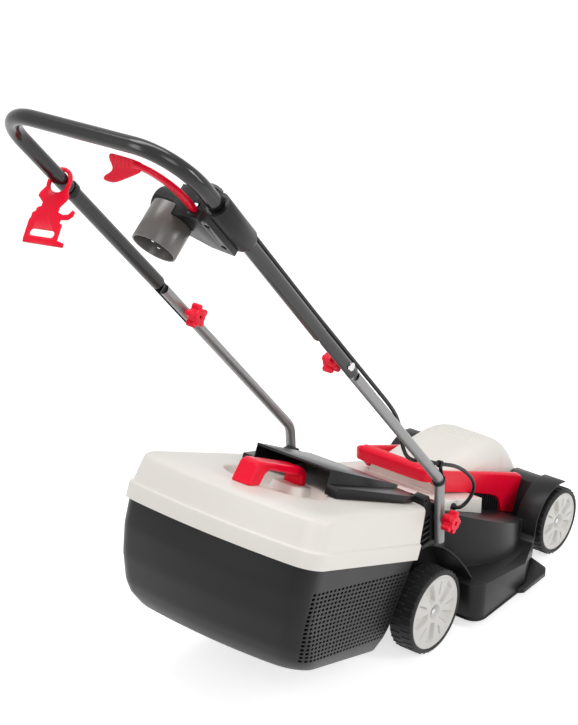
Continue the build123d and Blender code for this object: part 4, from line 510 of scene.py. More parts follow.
def make_lid():
    """Lid: a foot band, sides that rise to a soft crease, a crowned top and a dish round the handle."""
    shape = bmesh.new()
    # Inset of side, inset of rear, share of the way up from band to top, height above the rim at its low end.
    control = [(0.0, 0.0, 0.0, 0.0), (0.0, 0.0, 0.0, 0.026), (0.0005, 0.0005, 0.0, 0.0288),
               (0.0036, 0.0036, 0.0, 0.0302), (0.0042, 0.0046, 0.02, 0.0302), (0.0090, 0.0105, 0.80, 0.0302),
               (0.0105, 0.0130, 0.95, 0.0302), (0.018, 0.024, 1.0, 0.0302), (0.045, 0.05, 1.0, 0.0302)]
    loops = []
    for side_in, rear_in, share, foot_w in smooth_path(control, 5):
        half = box_half_outline(0.0, side_in, rear_in, LID_CORNER_R, LID_STOPS)
        crown = -0.004 * max(0.0, 1.0 - side_in / 0.045) ** 2

        def height(v, share=share, foot_w=foot_w, crown=crown):
            return foot_w + (lid_top(v) + crown - foot_w) * share
        loops.append(box_loop(half, height))
    rim_half = box_half_outline(0.0, 0.045, 0.05, LID_CORNER_R, LID_STOPS)
    angles = [math.atan2((point.y - DISH_V) / DISH_HALF_LENGTH, point.x / DISH_HALF_WIDTH)
              for point in both_sides(rim_half)]

    def dish_loop(scale, drop):
        points = []
        for angle in angles:
            x = DISH_HALF_WIDTH * scale * math.cos(angle)
            v = DISH_V + DISH_HALF_LENGTH * scale * math.sin(angle)
            points.append(box_point(x, v, lid_top(v) - drop))
        return points
    inner = dish_loop(1.05, 0.0)
    loops += [[a.lerp(b, share) for a, b in zip(loops[-1], inner)] for share in (0.25, 0.5, 0.75)]
    loops += [dish_loop(scale, drop) for scale, drop in DISH_PROFILE]
    last = add_bands(shape, loops)[-1]
    close_loop(shape, last, box_point(0.0, DISH_V, lid_top(DISH_V) - DISH_DEPTH))
    mesh = mesh_from(shape, "lid_shell", 28.0)
    piece = new_piece("lid_shell", "grass_box", "light_shell", mesh, ("box_lid",))
    thickened(piece, SHELL_WALL, 32.0, even=True)


PAD_FRONT_V = -0.166
PAD_REAR_V = -0.216
PAD_HALF_WIDTH = 0.034
PAD_CORNER_R = 0.020


def make_lid_pad():
    """Raised tongue that carries the front foot of the handle."""
    rings = []
    flank = smooth_path([(-0.004, 0.0185), (-0.003, 0.012), (0.0, 0.006), (0.0012, 0.0035),
                         (0.006, 0.0034)], 4)
    for inset, drop in flank:
        points = [(PAD_HALF_WIDTH - inset, PAD_FRONT_V)]
        points += arc(PAD_HALF_WIDTH - PAD_CORNER_R, PAD_REAR_V + PAD_CORNER_R, PAD_CORNER_R - inset,
                      0, -90, 17)
        whole = points + [(-x, v) for x, v in reversed(points)]
        rings.append([box_point(x, v, lid_top(v) - drop) for x, v in whole])
    shape = bmesh.new()
    shape.faces.new(add_bands(shape, rings)[-1])
    new_piece("lid_pad", "grass_box", "light_shell", mesh_from(shape, "lid_pad", 40.0))


HOLE_COLUMNS = 25
HOLE_ROWS = 17
HOLE_TOP = 0.165
HOLE_FOOT = 0.80
HOLE_SHARE_ALONG = 0.37                  # half width of a hole in its cell
HOLE_SHARE_UP = 0.34
# Share of the depth, then how far front, side and rear walls stand inside the lid's outline, and the
# corner radius.
TUB_LEVELS = [(0.0, 0.0032, 0.006, 0.006, 0.038), (0.2, 0.008, 0.0062, 0.010, 0.040),
              (0.45, 0.014, 0.008, 0.022, 0.042), (0.70, 0.021, 0.010, 0.044, 0.046),
              (0.86, 0.028, 0.015, 0.068, 0.050), (0.95, 0.031, 0.024, 0.080, 0.054),
              (1.0, 0.034, 0.046, 0.098, 0.054)]


def tub_level(share):
    """Insets and corner radius at one depth, smoothly between the levels."""
    for low, high in zip(TUB_LEVELS, TUB_LEVELS[1:]):
        if share <= high[0]:
            t = (share - low[0]) / (high[0] - low[0])
            return [a + (b - a) * t for a, b in zip(low[1:], high[1:])]
    return list(TUB_LEVELS[-1][1:])


def punch(shape, corners):
    """Four faces round an oval hole in a quad."""
    a, b, c, d = [vert.co.copy() for vert in corners]
    hole = []
    for i in range(8):
        turn = math.radians(225 + 45 * i)
        u = 0.5 + HOLE_SHARE_ALONG * math.cos(turn)
        v = 0.5 + HOLE_SHARE_UP * math.sin(turn)
        hole.append(shape.verts.new(a.lerp(b, u).lerp(d.lerp(c, u), v)))
    for i in range(4):
        third = hole[(2 * i + 2) % 8]
        shape.faces.new((corners[i], corners[(i + 1) % 4], third, hole[2 * i + 1], hole[2 * i]))


def make_tub():
    """Tub with rows of oval air holes in each side wall."""
    shape = bmesh.new()
    hole_shares = spread(HOLE_ROWS + 1, HOLE_TOP, HOLE_FOOT)
    shares = [0.0, 0.07, 0.13] + hole_shares + [0.93, 0.955, 0.975, 0.99, 1.0]
    front_steps = 6
    rings = []
    for share in shares:
        front_in, side_in, rear_in, corner = tub_level(share)
        half = box_half_outline(-front_in, side_in, rear_in, corner, column_reach=0.12 + 0.5 * share,
                                front_steps=front_steps)
        slant = 0.10 * min(1.0, share / HOLE_TOP, (1 - share) / (1 - HOLE_FOOT))

        def height(v, share=share, slant=slant):
            back = -v / BOX_LENGTH
            depth = TUB_RIM + TUB_FRONT_DEPTH + (TUB_REAR_DEPTH - TUB_FRONT_DEPTH) * back
            return TUB_RIM - (share + slant * back) * depth
        rings.append(add_loop(shape, box_loop(half, height)))
    count = len(rings[0])
    first = front_steps + 1
    right = range(first, first + HOLE_COLUMNS)
    left = range(count - first - HOLE_COLUMNS, count - first)
    for row, (high, low) in enumerate(zip(rings, rings[1:])):
        for i in range(count):
            j = (i + 1) % count
            corners = (low[i], low[j], high[j], high[i])
            if hole_shares[0] <= shares[row] < hole_shares[-1] - 0.001 and (i in right or i in left):
                punch(shape, corners)
            else:
                shape.faces.new(corners)
    last = rings[-1]
    centre = sum((vert.co for vert in last), Vector()) / count
    for scale in (0.93, 0.6, 0.3):
        ring = add_loop(shape, [centre.lerp(vert.co, scale) for vert in rings[-1]])
        join_loops(shape, ring, last)
        last = ring
    close_loop(shape, last, centre)
    mesh = mesh_from(shape, "tub_shell", 40.0)
    piece = new_piece("tub_shell", "grass_box", "tub_plastic", mesh, ("box_tub",))
    thickened(piece, SHELL_WALL, 40.0)


make_lid()
make_lid_pad()
make_tub()


# ---------------- motor hood
HOOD_REAR_Y = 0.23775
HOOD_FRONT_Y = 0.57775
HOOD_CROWN_Y = 0.35675
HOOD_CROWN_Z = 0.247
HOOD_REAR_DROP = 0.003
HOOD_FOOT_Z = 0.112
HOOD_HALF = 0.080
HOOD_FRONT_HALF = 0.062
HOOD_TAPER_Y = 0.44975
HOOD_SHOULDER = 0.034                    # drop from the flat top to the side
ROOF_Y = 0.32475                         # the deck's roof slopes down towards the front
ROOF_Z = 0.151
ROOF_SLOPE = 0.49
ROOF_END_Y = 0.40


def roof_height(y):
    """Height of the deck's sloping roof."""
    return ROOF_Z - ROOF_SLOPE * (y - ROOF_Y)


def hood_top(y):
    """Height of the hood's spine."""
    if y < HOOD_CROWN_Y:
        t = (HOOD_CROWN_Y - y) / (HOOD_CROWN_Y - HOOD_REAR_Y)
        return HOOD_CROWN_Z - HOOD_REAR_DROP * t * t
    t = (y - HOOD_CROWN_Y) / (HOOD_FRONT_Y - HOOD_CROWN_Y)
    return HOOD_CROWN_Z - (HOOD_CROWN_Z - HOOD_FOOT_Z) * t ** 3.5


def hood_half(y):
    """Half width: straight sides that draw in towards the front."""
    t = (y - HOOD_TAPER_Y) / (HOOD_FRONT_Y - HOOD_TAPER_Y)
    soft = 0.25
    if t > soft:
        pull = min(1.0, t - soft / 2)
    else:
        pull = max(0.0, t + soft) ** 2 / (4 * soft)
    return HOOD_HALF - (HOOD_HALF - HOOD_FRONT_HALF) * pull


def hood_surface(y, q):
    """Height of the hood at a share q of its half width."""
    return hood_top(y) - HOOD_SHOULDER * abs(q) ** 7


def make_hood():
    """Domed hood: flat across its top, with a soft shoulder that runs down each side."""
    low_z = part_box("motor_hood")[0].z
    stations = spread(13, HOOD_REAR_Y, HOOD_CROWN_Y) + spread(42, HOOD_CROWN_Y + 0.006, HOOD_FRONT_Y)
    across = [math.copysign(1 - (1 - abs(q)) ** 1.7, q) for q in spread(41, -1.0, 1.0)]
    rings = []
    for y in stations:
        half = hood_half(y)
        top = hood_top(y)
        foot = max(low_z, roof_height(y) + 0.0003) if y < ROOF_END_Y else low_z
        drop = min(HOOD_SHOULDER, max(0.001, top - foot - 0.002))
        middle = foot + (top - drop - foot) * 0.5
        points = [(-half, foot), (-half, middle)]
        points += [(q * half, top - drop * abs(q) ** 7) for q in across]
        points += [(half, middle), (half, foot)]
        rings.append([Vector((x, y, z)) for x, z in points])
    shape = bmesh.new()
    add_skin(shape, rings)
    new_piece("hood_shell", "chassis", "light_shell", mesh_from(shape, "hood_shell", 60.0), ("motor_hood",))


make_hood()


# ---------------- carry bow
BOW_GRIP_Y = 0.19775
BOW_GRIP_DEPTH = 0.024
BOW_GRIP_TOP = 0.285
BOW_GRIP_HEIGHT = 0.029
BOW_FRONT_Y = 0.51675
BOW_FRONT_TOP = 0.150
BOW_REAR_HALF = 0.088
BOW_FRONT_HALF = 0.106
BOW_CORNER_R = 0.022
BOW_PANEL = 0.046
BOW_SLOPE = (BOW_GRIP_TOP - BOW_FRONT_TOP) / (BOW_FRONT_Y - BOW_GRIP_Y)


def bow_top(y):
    return BOW_GRIP_TOP - BOW_SLOPE * (y - BOW_GRIP_Y)


def along_line(value, knots):
    """Value read off straight lines between knots."""
    for (a, low), (b, high) in zip(knots, knots[1:]):
        if value <= b:
            return low + (high - low) * max(0.0, value - a) / (b - a)
    return knots[-1][1]


def make_bow():
    """Carry bow: one band swept round the back of the hood, with an arch and a foot on each side."""
    front_y = BOW_FRONT_Y - 0.0008
    lows = [(0.198, BOW_GRIP_TOP - BOW_GRIP_HEIGHT), (0.2216, BOW_GRIP_TOP - BOW_GRIP_HEIGHT - 0.006),
            (0.2460, bow_top(0.246) - BOW_PANEL), (0.3370, bow_top(0.337) - BOW_PANEL),
            (0.4080, bow_top(0.408) - BOW_PANEL - 0.004), (0.4300, bow_top(0.430) - BOW_PANEL - 0.008),
            (0.4395, bow_top(0.4395) - BOW_PANEL - 0.016), (0.4440, bow_top(0.444) - BOW_PANEL - 0.028),
            (0.4478, roof_height(0.4478) + 0.0006), (front_y, roof_height(front_y) + 0.0006)]
    tops = [(BOW_GRIP_Y, BOW_GRIP_TOP), (front_y - 0.012, bow_top(front_y - 0.012)),
            (front_y - 0.004, bow_top(front_y) - 0.001), (front_y, bow_top(front_y) - 0.006)]
    thickness = [(BOW_GRIP_Y, BOW_GRIP_DEPTH), (0.218, 0.023), (0.236, 0.012), (0.26, 0.0088),
                 (front_y, 0.014)]
    side_ys = {y for y, _ in lows[1:]} | {y for y, _ in tops[1:]} | {0.236, 0.29, 0.36, 0.38, 0.46, 0.49}
    side_ys = sorted(side_ys, reverse=True)
    corner_y = BOW_GRIP_Y + BOW_CORNER_R
    corner_x = BOW_REAR_HALF - BOW_CORNER_R
    splay = (BOW_FRONT_HALF - BOW_REAR_HALF) / (front_y - corner_y)
    path = [(BOW_REAR_HALF + splay * (y - corner_y), y) for y in side_ys if y > corner_y + 0.001]
    path += arc(corner_x, corner_y, BOW_CORNER_R, 0, -90, 9)
    path += [(x, BOW_GRIP_Y) for x in spread(9, corner_x, 0.0)[1:]]
    path += [(-x, y) for x, y in reversed(path[:-1])]
    rings = []
    for i, (x, y) in enumerate(path):
        along = heading(path, i)
        inward = Vector((along.y, -along.x))
        if inward.dot(Vector((-x, BOW_FRONT_Y - 0.15 - y))) < 0:
            inward = -inward
        thick = along_line(y, thickness)
        top = along_line(y, tops)
        low = min(along_line(y, lows), top - 0.010)
        cap = min(0.0075, thick * 0.42)
        foot = min(0.0035, thick * 0.3)
        section = arc(cap, top - cap, cap, 180, 90, 5) + arc(thick - cap, top - cap, cap, 90, 0, 5)
        section += arc(thick - foot, low + foot, foot, 0, -90, 3) + arc(foot, low + foot, foot, -90, -180, 3)
        rings.append([Vector((x + inward.x * depth, y + inward.y * depth, z)) for depth, z in section])
    shape = bmesh.new()
    add_skin(shape, rings)
    new_piece("bow_skin", "chassis", "red_plastic", mesh_from(shape, "bow_skin", 38.0), ("carry_bow",))


make_bow()


# ---------------- wheels
def bar_ring_tree():
    """Geometry Nodes: bars set round a circle about the X axis."""
    tree = bpy.data.node_groups.new("Bars round a wheel", "GeometryNodeTree")
    for label, kind in (("Geometry", "Geometry"), ("Count", "Int"), ("Radius", "Float"),
                        ("Bar Size", "Vector"), ("Centre", "Vector"), ("Start Angle", "Float"),
                        ("Material", "Material")):
        tree.interface.new_socket(label, in_out="INPUT", socket_type="NodeSocket" + kind)
    tree.interface.new_socket("Geometry", in_out="OUTPUT", socket_type="NodeSocketGeometry")
    given = tree.nodes.new("NodeGroupInput").outputs
    share = calculate(tree, "DIVIDE", tree.nodes.new("GeometryNodeInputIndex").outputs[0], given["Count"])
    turn = calculate(tree, "MULTIPLY_ADD", share, 2 * math.pi, given["Start Angle"])
    rotation = add_node(tree, "ShaderNodeCombineXYZ", X=turn).outputs[0]
    reach = add_node(tree, "ShaderNodeCombineXYZ", Z=given["Radius"]).outputs[0]
    spin = tree.nodes.new("ShaderNodeVectorRotate")
    spin.rotation_type = "EULER_XYZ"
    feed(tree, spin.inputs["Vector"], reach)
    feed(tree, spin.inputs["Rotation"], rotation)
    place = operate(tree, "ShaderNodeVectorMath", "ADD", spin.outputs[0], given["Centre"]).outputs[0]
    points = add_node(tree, "GeometryNodePoints", Count=given["Count"], Position=place)
    bar = add_node(tree, "GeometryNodeMeshCube", Size=given["Bar Size"])
    copies = add_node(tree, "GeometryNodeInstanceOnPoints", Points=points.outputs[0],
                      Instance=bar.outputs["Mesh"], Rotation=rotation)
    real = add_node(tree, "GeometryNodeRealizeInstances", Geometry=copies.outputs[0])
    finish = add_node(tree, "GeometryNodeSetMaterial", Geometry=real.outputs[0], Material=given["Material"])
    feed(tree, tree.nodes.new("NodeGroupOutput").inputs[0], finish.outputs[0])
    return tree


BAR_RING = bar_ring_tree()


def run_tree(name, tree, values):
    """Mesh that a tree makes from its named inputs."""
    holder = linked(name, bpy.data.meshes.new(name))
    maker = holder.modifiers.new("maker", "NODES")
    maker.node_group = tree
    for item in tree.interface.items_tree:
        if item.item_type == "SOCKET" and item.in_out == "INPUT" and item.name in values:
            maker[item.identifier] = values[item.name]
    made = made_mesh(holder)
    bpy.data.objects.remove(holder)
    return made


def wheel_point(centre, side, depth, radius, turn):
    """Point at one angle of a wheel, depth in from its outer face."""
    return centre + Vector((-side * depth, radius * math.cos(turn), radius * math.sin(turn)))


TREAD_BARS = 34
TREAD_HEIGHT = 0.0016
BAR_SINK = 0.0006                        # how deep the bars stand in the tread
TYRE_STEPS = 96


def make_tyre(end, side_name):
    """Tyre with a ringed side wall and two rows of staggered cross bars."""
    node = f"{end}_tyre_{side_name}"
    side = 1 if side_name == "right" else -1
    low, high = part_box(node)
    radius = (high.z - low.z) / 2
    width = high.x - low.x
    centre = Vector(((high.x if side > 0 else low.x), (low.y + high.y) / 2, (low.z + high.z) / 2))
    inner = radius - 0.0104
    tread = radius - TREAD_HEIGHT
    control = [(0.0018, inner), (0.0, inner + 0.0015), (0.0, inner + 0.0050), (0.0008, inner + 0.0058),
               (0.0008, inner + 0.0066), (0.0016, tread - 0.0012), (0.0042, tread), (0.006, tread),
               (width / 2, tread + 0.0002), (width - 0.006, tread), (width - 0.0042, tread),
               (width - 0.001, tread - 0.002), (width, inner + 0.005), (width, inner + 0.001),
               (width - 0.0018, inner)]
    shape = bmesh.new()
    add_bands(shape, [[wheel_point(centre, side, depth, r, turn) for turn in turns(TYRE_STEPS)]
                      for depth, r in smooth_path(control, 3)], closed=True)
    body = mesh_from(shape, node + "_skin", 40.0)
    whole = bmesh.new()
    whole.from_mesh(body)
    for row, shift in ((0.27, 0.0), (0.73, 0.5)):
        whole.from_mesh(run_tree("bars", BAR_RING, {
            "Count": TREAD_BARS, "Radius": tread + TREAD_HEIGHT / 2 - BAR_SINK,
            "Bar Size": (width * 0.40, 0.0022, TREAD_HEIGHT + BAR_SINK),
            "Centre": centre + Vector((-side * width * row, 0, 0)),
            "Start Angle": 2 * math.pi / TREAD_BARS * shift, "Material": RUBBER}))
    whole.to_mesh(body)
    whole.free()
    smooth_by_angle(body, 40.0)
    new_piece(node + "_skin", f"wheel_{end}_{side_name}", "tyre", body, (node,))


SPOKE_COUNT = 5
SPOKE_ROOT = 0.0155
HUB_R = 0.0150
BORE_R = 0.0079
RIM_LIP = 0.006
RIM_FACE_DEPTH = 0.0030                  # how far the spokes lie in from the tyre's side
FUNNEL_DEPTH = 0.011
RIM_STEPS = 240


def dip(value, half, edge):
    """1 inside +-half, 0 outside, with a smooth edge."""
    t = min(1.0, max(0.0, (half + edge - abs(value)) / (2 * edge)))
    return t * t * (3 - 2 * t)


def rim_depth(r, radius, turn):
    """How far the rim's face lies in from the tyre's side, at one radius and angle."""
    if r <= HUB_R:
        return RIM_FACE_DEPTH + (HUB_R - r) / (HUB_R - BORE_R) * FUNNEL_DEPTH
    if r > radius - RIM_LIP:
        return 0.0022 if r == radius else 0.0012
    pitch = 2 * math.pi / SPOKE_COUNT
    local = (turn + pitch / 2) % pitch - pitch / 2
    gap = pitch / 2 - abs(local)
    share = (r - SPOKE_ROOT) / (radius - RIM_LIP - SPOKE_ROOT)
    scoop = dip(gap * r, 0.15 * r + 0.0022, 0.0020) * dip(share - 0.53, 0.36, 0.07)
    slot = dip(local * r, 0.0011, 0.0006) * dip(share - 0.64, 0.24, 0.03)
    crown = 0.0012 * math.sin(math.pi * max(0.0, share))
    return RIM_FACE_DEPTH - crown + (0.0105 - 0.004 * share) * scoop + 0.0050 * slot


def make_rim(end, side_name):
    """Rim face with five broad spokes, a slot along each, scoops between them and a funnel at the hub."""
    node = f"{end}_rim_{side_name}"
    side = 1 if side_name == "right" else -1
    low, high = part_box(node)
    tyre_low, tyre_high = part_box(f"{end}_tyre_{side_name}")
    radius = (high.z - low.z) / 2
    centre = Vector(((tyre_high.x if side > 0 else tyre_low.x), (low.y + high.y) / 2, (low.z + high.z) / 2))
    width = tyre_high.x - tyre_low.x
    radii = [radius, radius - 0.0012, radius - 0.0026, radius - 0.004]
    radii += spread(30, radius - RIM_LIP, SPOKE_ROOT)
    radii += [0.014, 0.012, 0.0105, 0.0092, 0.0084, 0.0080, BORE_R]
    angles = turns(RIM_STEPS)
    rings = [[wheel_point(centre, side, rim_depth(r, radius, turn), r, turn) for turn in angles]
             for r in radii]
    bore_depth = rim_depth(BORE_R, radius, 0.0) + width - 0.016
    rings.append([wheel_point(centre, side, bore_depth, BORE_R, turn) for turn in angles])
    rings.append([wheel_point(centre, side, width - 0.002, radius, turn) for turn in angles])
    shape = bmesh.new()
    add_bands(shape, rings, closed=True)
    mesh = mesh_from(shape, node + "_skin", 50.0)
    new_piece(node + "_skin", f"wheel_{end}_{side_name}", "rim_plastic", mesh, (node,))


for end in ("rear", "front"):
    for side_name in ("right", "left"):
        make_tyre(end, side_name)
        make_rim(end, side_name)


# ---------------- mains lead
LEAD_R = 0.0036
LEAD_ROUTE = [
    (0.1794, -0.4248, 0.9825), (0.1735, -0.2761, 0.8097), (0.1735, -0.2370, 0.7642), (0.1735, -0.0922, 0.5959),
    (0.1735, -0.0439, 0.5398), (0.1660, -0.0138, 0.5037), (0.1585, 0.0057, 0.4703), (0.1550, 0.0179, 0.4347),
    (0.1545, 0.0324, 0.4063), (0.1560, 0.0542, 0.3894), (0.1575, 0.0798, 0.3811), (0.1705, 0.1008, 0.3695),
    (0.1740, 0.1258, 0.3580), (0.1740, 0.1598, 0.3410), (0.1720, 0.1938, 0.3170), (0.1680, 0.2258, 0.2880),
    (0.1630, 0.2478, 0.2590), (0.1570, 0.2508, 0.2370), (0.1500, 0.2438, 0.2190), (0.1410, 0.2298, 0.2080),
    (0.1273, 0.2298, 0.2080),
]


def make_lead():
    """Lead from the switch down the right tube to the motor."""
    line = bpy.data.curves.new("lead_line", "CURVE")
    line.dimensions = "3D"
    line.resolution_u = 12
    spline = line.splines.new("NURBS")
    spline.points.add(len(LEAD_ROUTE) - 1)
    for point, place in zip(spline.points, LEAD_ROUTE):
        point.co = (*place, 1.0)
    spline.order_u = 3
    spline.use_endpoint_u = True
    holder = linked("lead_line", line)
    path = [tuple(vert.co) for vert in made_mesh(holder).vertices]
    line.bevel_depth = LEAD_R
    line.bevel_resolution = 4
    line.use_fill_caps = True
    shape = bmesh.new()
    shape.from_mesh(made_mesh(holder))
    bpy.data.objects.remove(holder)
    tube = mesh_from(shape, "mains_lead", 50.0)
    tube.materials.append(LEAD_SHEATH)
    lead = linked("mains_lead", tube)
    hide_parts("cable_upper_run", "cable_fold_bend", "cable_lower_run", "cable_loop")
    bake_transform(lead)


make_lead()


# ---------------- deck and its runners
FRONT_AXLE = (0.51775, 0.070)
ARCH_INNER_X = 0.1425
ARCH_DROP = 0.0095
RUNNER_LOW_Z = 0.018
SKIRT_HALF = 0.2325
SKIRT_FRONT_HALF = 0.192
SKIRT_CORNER_R = 0.026
SKIRT_REAR_Y, SKIRT_TAPER_Y, SKIRT_FRONT_Y = 0.16775, 0.33175, 0.42575
BEAD_R = 0.0024
BEAD_Z = 0.0206
BEAD_SINK = 0.0002


def lower_front_arch(place):
    """Front wheel arches sit closer to the tyre and end sooner at the front."""
    y = place.y - FRONT_AXLE[0]
    z = place.z - FRONT_AXLE[1]
    reach = math.hypot(y, z)
    if abs(place.x) < ARCH_INNER_X or not 0.086 < reach < 0.097 or z < -0.002:
        return place
    turn = math.atan2(z, y)
    if turn < math.pi / 2:
        turn = math.pi / 2 - (math.pi / 2 - turn) * 0.45
    reach -= ARCH_DROP
    return Vector((place.x, FRONT_AXLE[0] + reach * math.cos(turn), FRONT_AXLE[1] + reach * math.sin(turn)))


def thin_runner(place):
    """Runners thin out towards their outer edge."""
    if place.z < RUNNER_LOW_Z + 0.010:
        return place
    outward = min(1.0, max(0.0, (abs(place.x) - 0.200) / 0.040))
    return Vector((place.x, place.y, RUNNER_LOW_Z + 0.024 - 0.013 * outward))


def make_skirt_bead():
    """Rolled bead along the skirt's lower edge."""
    corner_x = SKIRT_HALF - SKIRT_CORNER_R
    path = [(corner_x - 0.03, SKIRT_REAR_Y)]
    path += arc(corner_x, SKIRT_REAR_Y + SKIRT_CORNER_R, SKIRT_CORNER_R, -90, 0, 7)
    path += [(SKIRT_HALF, SKIRT_TAPER_Y), (SKIRT_FRONT_HALF + 0.002, SKIRT_FRONT_Y - 0.004)]
    shape = bmesh.new()
    for side in (-1, 1):
        rings = []
        for i, (x, y) in enumerate(path):
            along = heading(path, i)
            ring = []
            for turn in turns(8):
                reach = BEAD_R * math.cos(turn) - BEAD_SINK
                ring.append(Vector((side * (x + along.y * reach), y - along.x * reach,
                                    BEAD_Z + BEAD_R * math.sin(turn))))
            rings.append(ring)
        add_skin(shape, rings)
    new_piece("skirt_bead", "chassis", "deck_plastic", mesh_from(shape, "skirt_bead", 50.0))


rounded_copy("deck_housing", 0.0016, move=lower_front_arch)
rounded_copy("lawn_comb_right", 0.002, move=thin_runner)
rounded_copy("lawn_comb_left", 0.002, move=thin_runner)
make_skirt_bead()


# ---------------- bare label plate on the hood
PLATE_REAR_Y, PLATE_FRONT_Y = 0.41275, 0.47775
PLATE_HALF = 0.041
PLATE_CORNER_R = 0.006


def plate_lift(x, y):
    """Height over the hood: sunk at the outer edge, raised along the frame, and nearly flush inside."""
    edge_x = PLATE_HALF - abs(x)
    edge_y = min(y - PLATE_REAR_Y, PLATE_FRONT_Y - y)
    edge = min(edge_x, edge_y)
    if edge_x < PLATE_CORNER_R and edge_y < PLATE_CORNER_R:
        edge = PLATE_CORNER_R - math.hypot(PLATE_CORNER_R - edge_x, PLATE_CORNER_R - edge_y)
    if edge < 0.0008:
        return -0.0012
    return 0.0011 if edge < 0.0040 else 0.0003


def make_label_plate():
    """Raised frame round a bare plate on the hood's brow."""
    shape = bmesh.new()
    add_grid(shape, [[(x, y, hood_surface(y, x / hood_half(y)) + plate_lift(x, y))
                      for x in spread(45, -PLATE_HALF, PLATE_HALF)]
                     for y in spread(37, PLATE_REAR_Y, PLATE_FRONT_Y)])
    piece = new_piece("label_plate", "chassis", "light_shell", mesh_from(shape, "label_plate", 40.0))
    thickened(piece, 0.0016, 40.0)


make_label_plate()


# ---------------- switch lever
def handle_point(x, s, depth):
    """Point of the handle's own frame: x across, s up along the tubes from the fold, depth behind them."""
    cos, sin = math.cos(HANDLE_ANGLE), math.sin(HANDLE_ANGLE)
    return FOLD_POINT + Vector((x, -cos * s - sin * depth, sin * s - cos * depth))


# Places (x, s, depth) of the paddle: five down each section, from the wing beside the bar over the fold
# to the wing behind it, at five sections from the arm to the free end.
PADDLE = [
    [(0.113, 0.5900, 0.0125), (0.112, 0.588, 0.016), (0.111, 0.585, 0.0195), (0.110, 0.583, 0.0220),
     (0.109, 0.581, 0.024)],
    [(0.095, 0.5925, 0.0115), (0.094, 0.588, 0.016), (0.092, 0.582, 0.0210), (0.089, 0.577, 0.0265),
     (0.087, 0.572, 0.031)],
    [(0.077, 0.5930, 0.0110), (0.076, 0.586, 0.017), (0.072, 0.578, 0.0225), (0.069, 0.571, 0.0310),
     (0.067, 0.564, 0.038)],
    [(0.060, 0.5930, 0.0110), (0.059, 0.585, 0.018), (0.052, 0.575, 0.0245), (0.051, 0.567, 0.0340),
     (0.055, 0.560, 0.042)],
    [(0.047, 0.5945, 0.0115), (0.046, 0.585, 0.019), (0.058, 0.573, 0.0265), (0.036, 0.567, 0.0350),
     (0.030, 0.559, 0.041)],
]
RIB_COUNT = 6
RIB_PITCH = 0.0075


def make_lever():
    """Lever: a bowed arm that opens into a ribbed trough with two wings."""
    route = smooth_path([(0.148, 0.466, 0.016), (0.148, 0.490, 0.016), (0.149, 0.515, 0.016),
                         (0.146, 0.540, 0.016), (0.134, 0.562, 0.016), (0.116, 0.580, 0.016),
                         (0.096, 0.588, 0.017)], 5)
    line = [handle_point(*place) for place in route]
    depth_way = handle_point(0, 0, 1) - handle_point(0, 0, 0)
    rings = []
    for i, here in enumerate(line):
        across = heading(line, i).cross(depth_way).normalized()
        half_wide = 0.0062 + 0.0015 * math.sin(math.pi * i / (len(route) - 1))
        half_deep = 0.0044
        ring = []
        for turn in turns(16):
            c, d = math.cos(turn), math.sin(turn)
            ring.append(here + across * (math.copysign(abs(c) ** 0.6, c) * half_wide)
                        + depth_way * (math.copysign(abs(d) ** 0.6, d) * half_deep))
        rings.append(ring)
    arm = bmesh.new()
    add_skin(arm, rings)
    trough = bmesh.new()
    add_grid(trough, [[handle_point(*place) for place in section] for section in PADDLE])
    paddle = linked("paddle", mesh_from(trough, "paddle", 60.0))
    wall = paddle.modifiers.new("wall", "SOLIDIFY")
    wall.thickness = 0.0034
    wall.offset = 0.0
    soft = paddle.modifiers.new("soft", "SUBSURF")
    soft.levels = 2
    whole = bmesh.new()
    whole.from_mesh(mesh_from(arm, "lever_arm", 50.0))
    whole.from_mesh(made_mesh(paddle))
    bpy.data.objects.remove(paddle)
    for x in spread(RIB_COUNT, 0.094, 0.094 - RIB_PITCH * (RIB_COUNT - 1)):
        start, stop = handle_point(x, 0.5915, 0.0125), handle_point(x - 0.003, 0.5795, 0.0215)
        side = Vector((1, 0, 0))
        up = (stop - start).normalized().cross(side).normalized()
        add_skin(whole, [[place + side * 0.0010 * c + up * 0.0026 * d
                          for c, d in ((1, 1), (-1, 1), (-1, -1), (1, -1))] for place in (start, stop)])
    bmesh.ops.recalc_face_normals(whole, faces=whole.faces)
    mesh = bpy.data.meshes.new("lever_skin")
    whole.to_mesh(mesh)
    whole.free()
    smooth_by_angle(mesh, 50.0)
    new_piece("lever_skin", "lever", "red_plastic", mesh, ("switch_lever",))


make_lever()


# ---------------- moulded nodes with rounded edges
def softened_copy(node, voxel, rounds):
    """Copy of a solid CAD node whose edges are worn soft, as on a hand grip."""
    piece = rounded_copy(node, 0.001)
    remesh = piece.modifiers.new("skin", "REMESH")
    remesh.mode = "VOXEL"
    remesh.voxel_size = voxel
    relax = piece.modifiers.new("relax", "SMOOTH")
    relax.factor = 0.5
    relax.iterations = rounds
    baked(piece, 60.0)
    piece.data.materials.clear()
    piece.data.materials.append(SLOT_FINISH[node_slot[node]])


softened_copy("box_handle", 0.0018, 14)
for node in ("base_knob_right", "base_knob_left", "fold_knob_right", "fold_knob_left"):
    softened_copy(node, 0.0009, 6)
for node, width in (("rear_flap", 0.0018), ("rear_cover", 0.004), ("handle_brackets", 0.001),
                    ("cable_hook", 0.0012), ("switch_housing_outer", 0.0045),
                    ("switch_housing_inner", 0.0045), ("plug_inlet", 0.0006), ("tube_collar", 0.0006),
                    ("cable_clip", 0.0006)):
    rounded_copy(node, width)
rounded_copy("axle_caps", 0.0006, move=lambda place: place - Vector((math.copysign(0.005, place.x), 0, 0)))


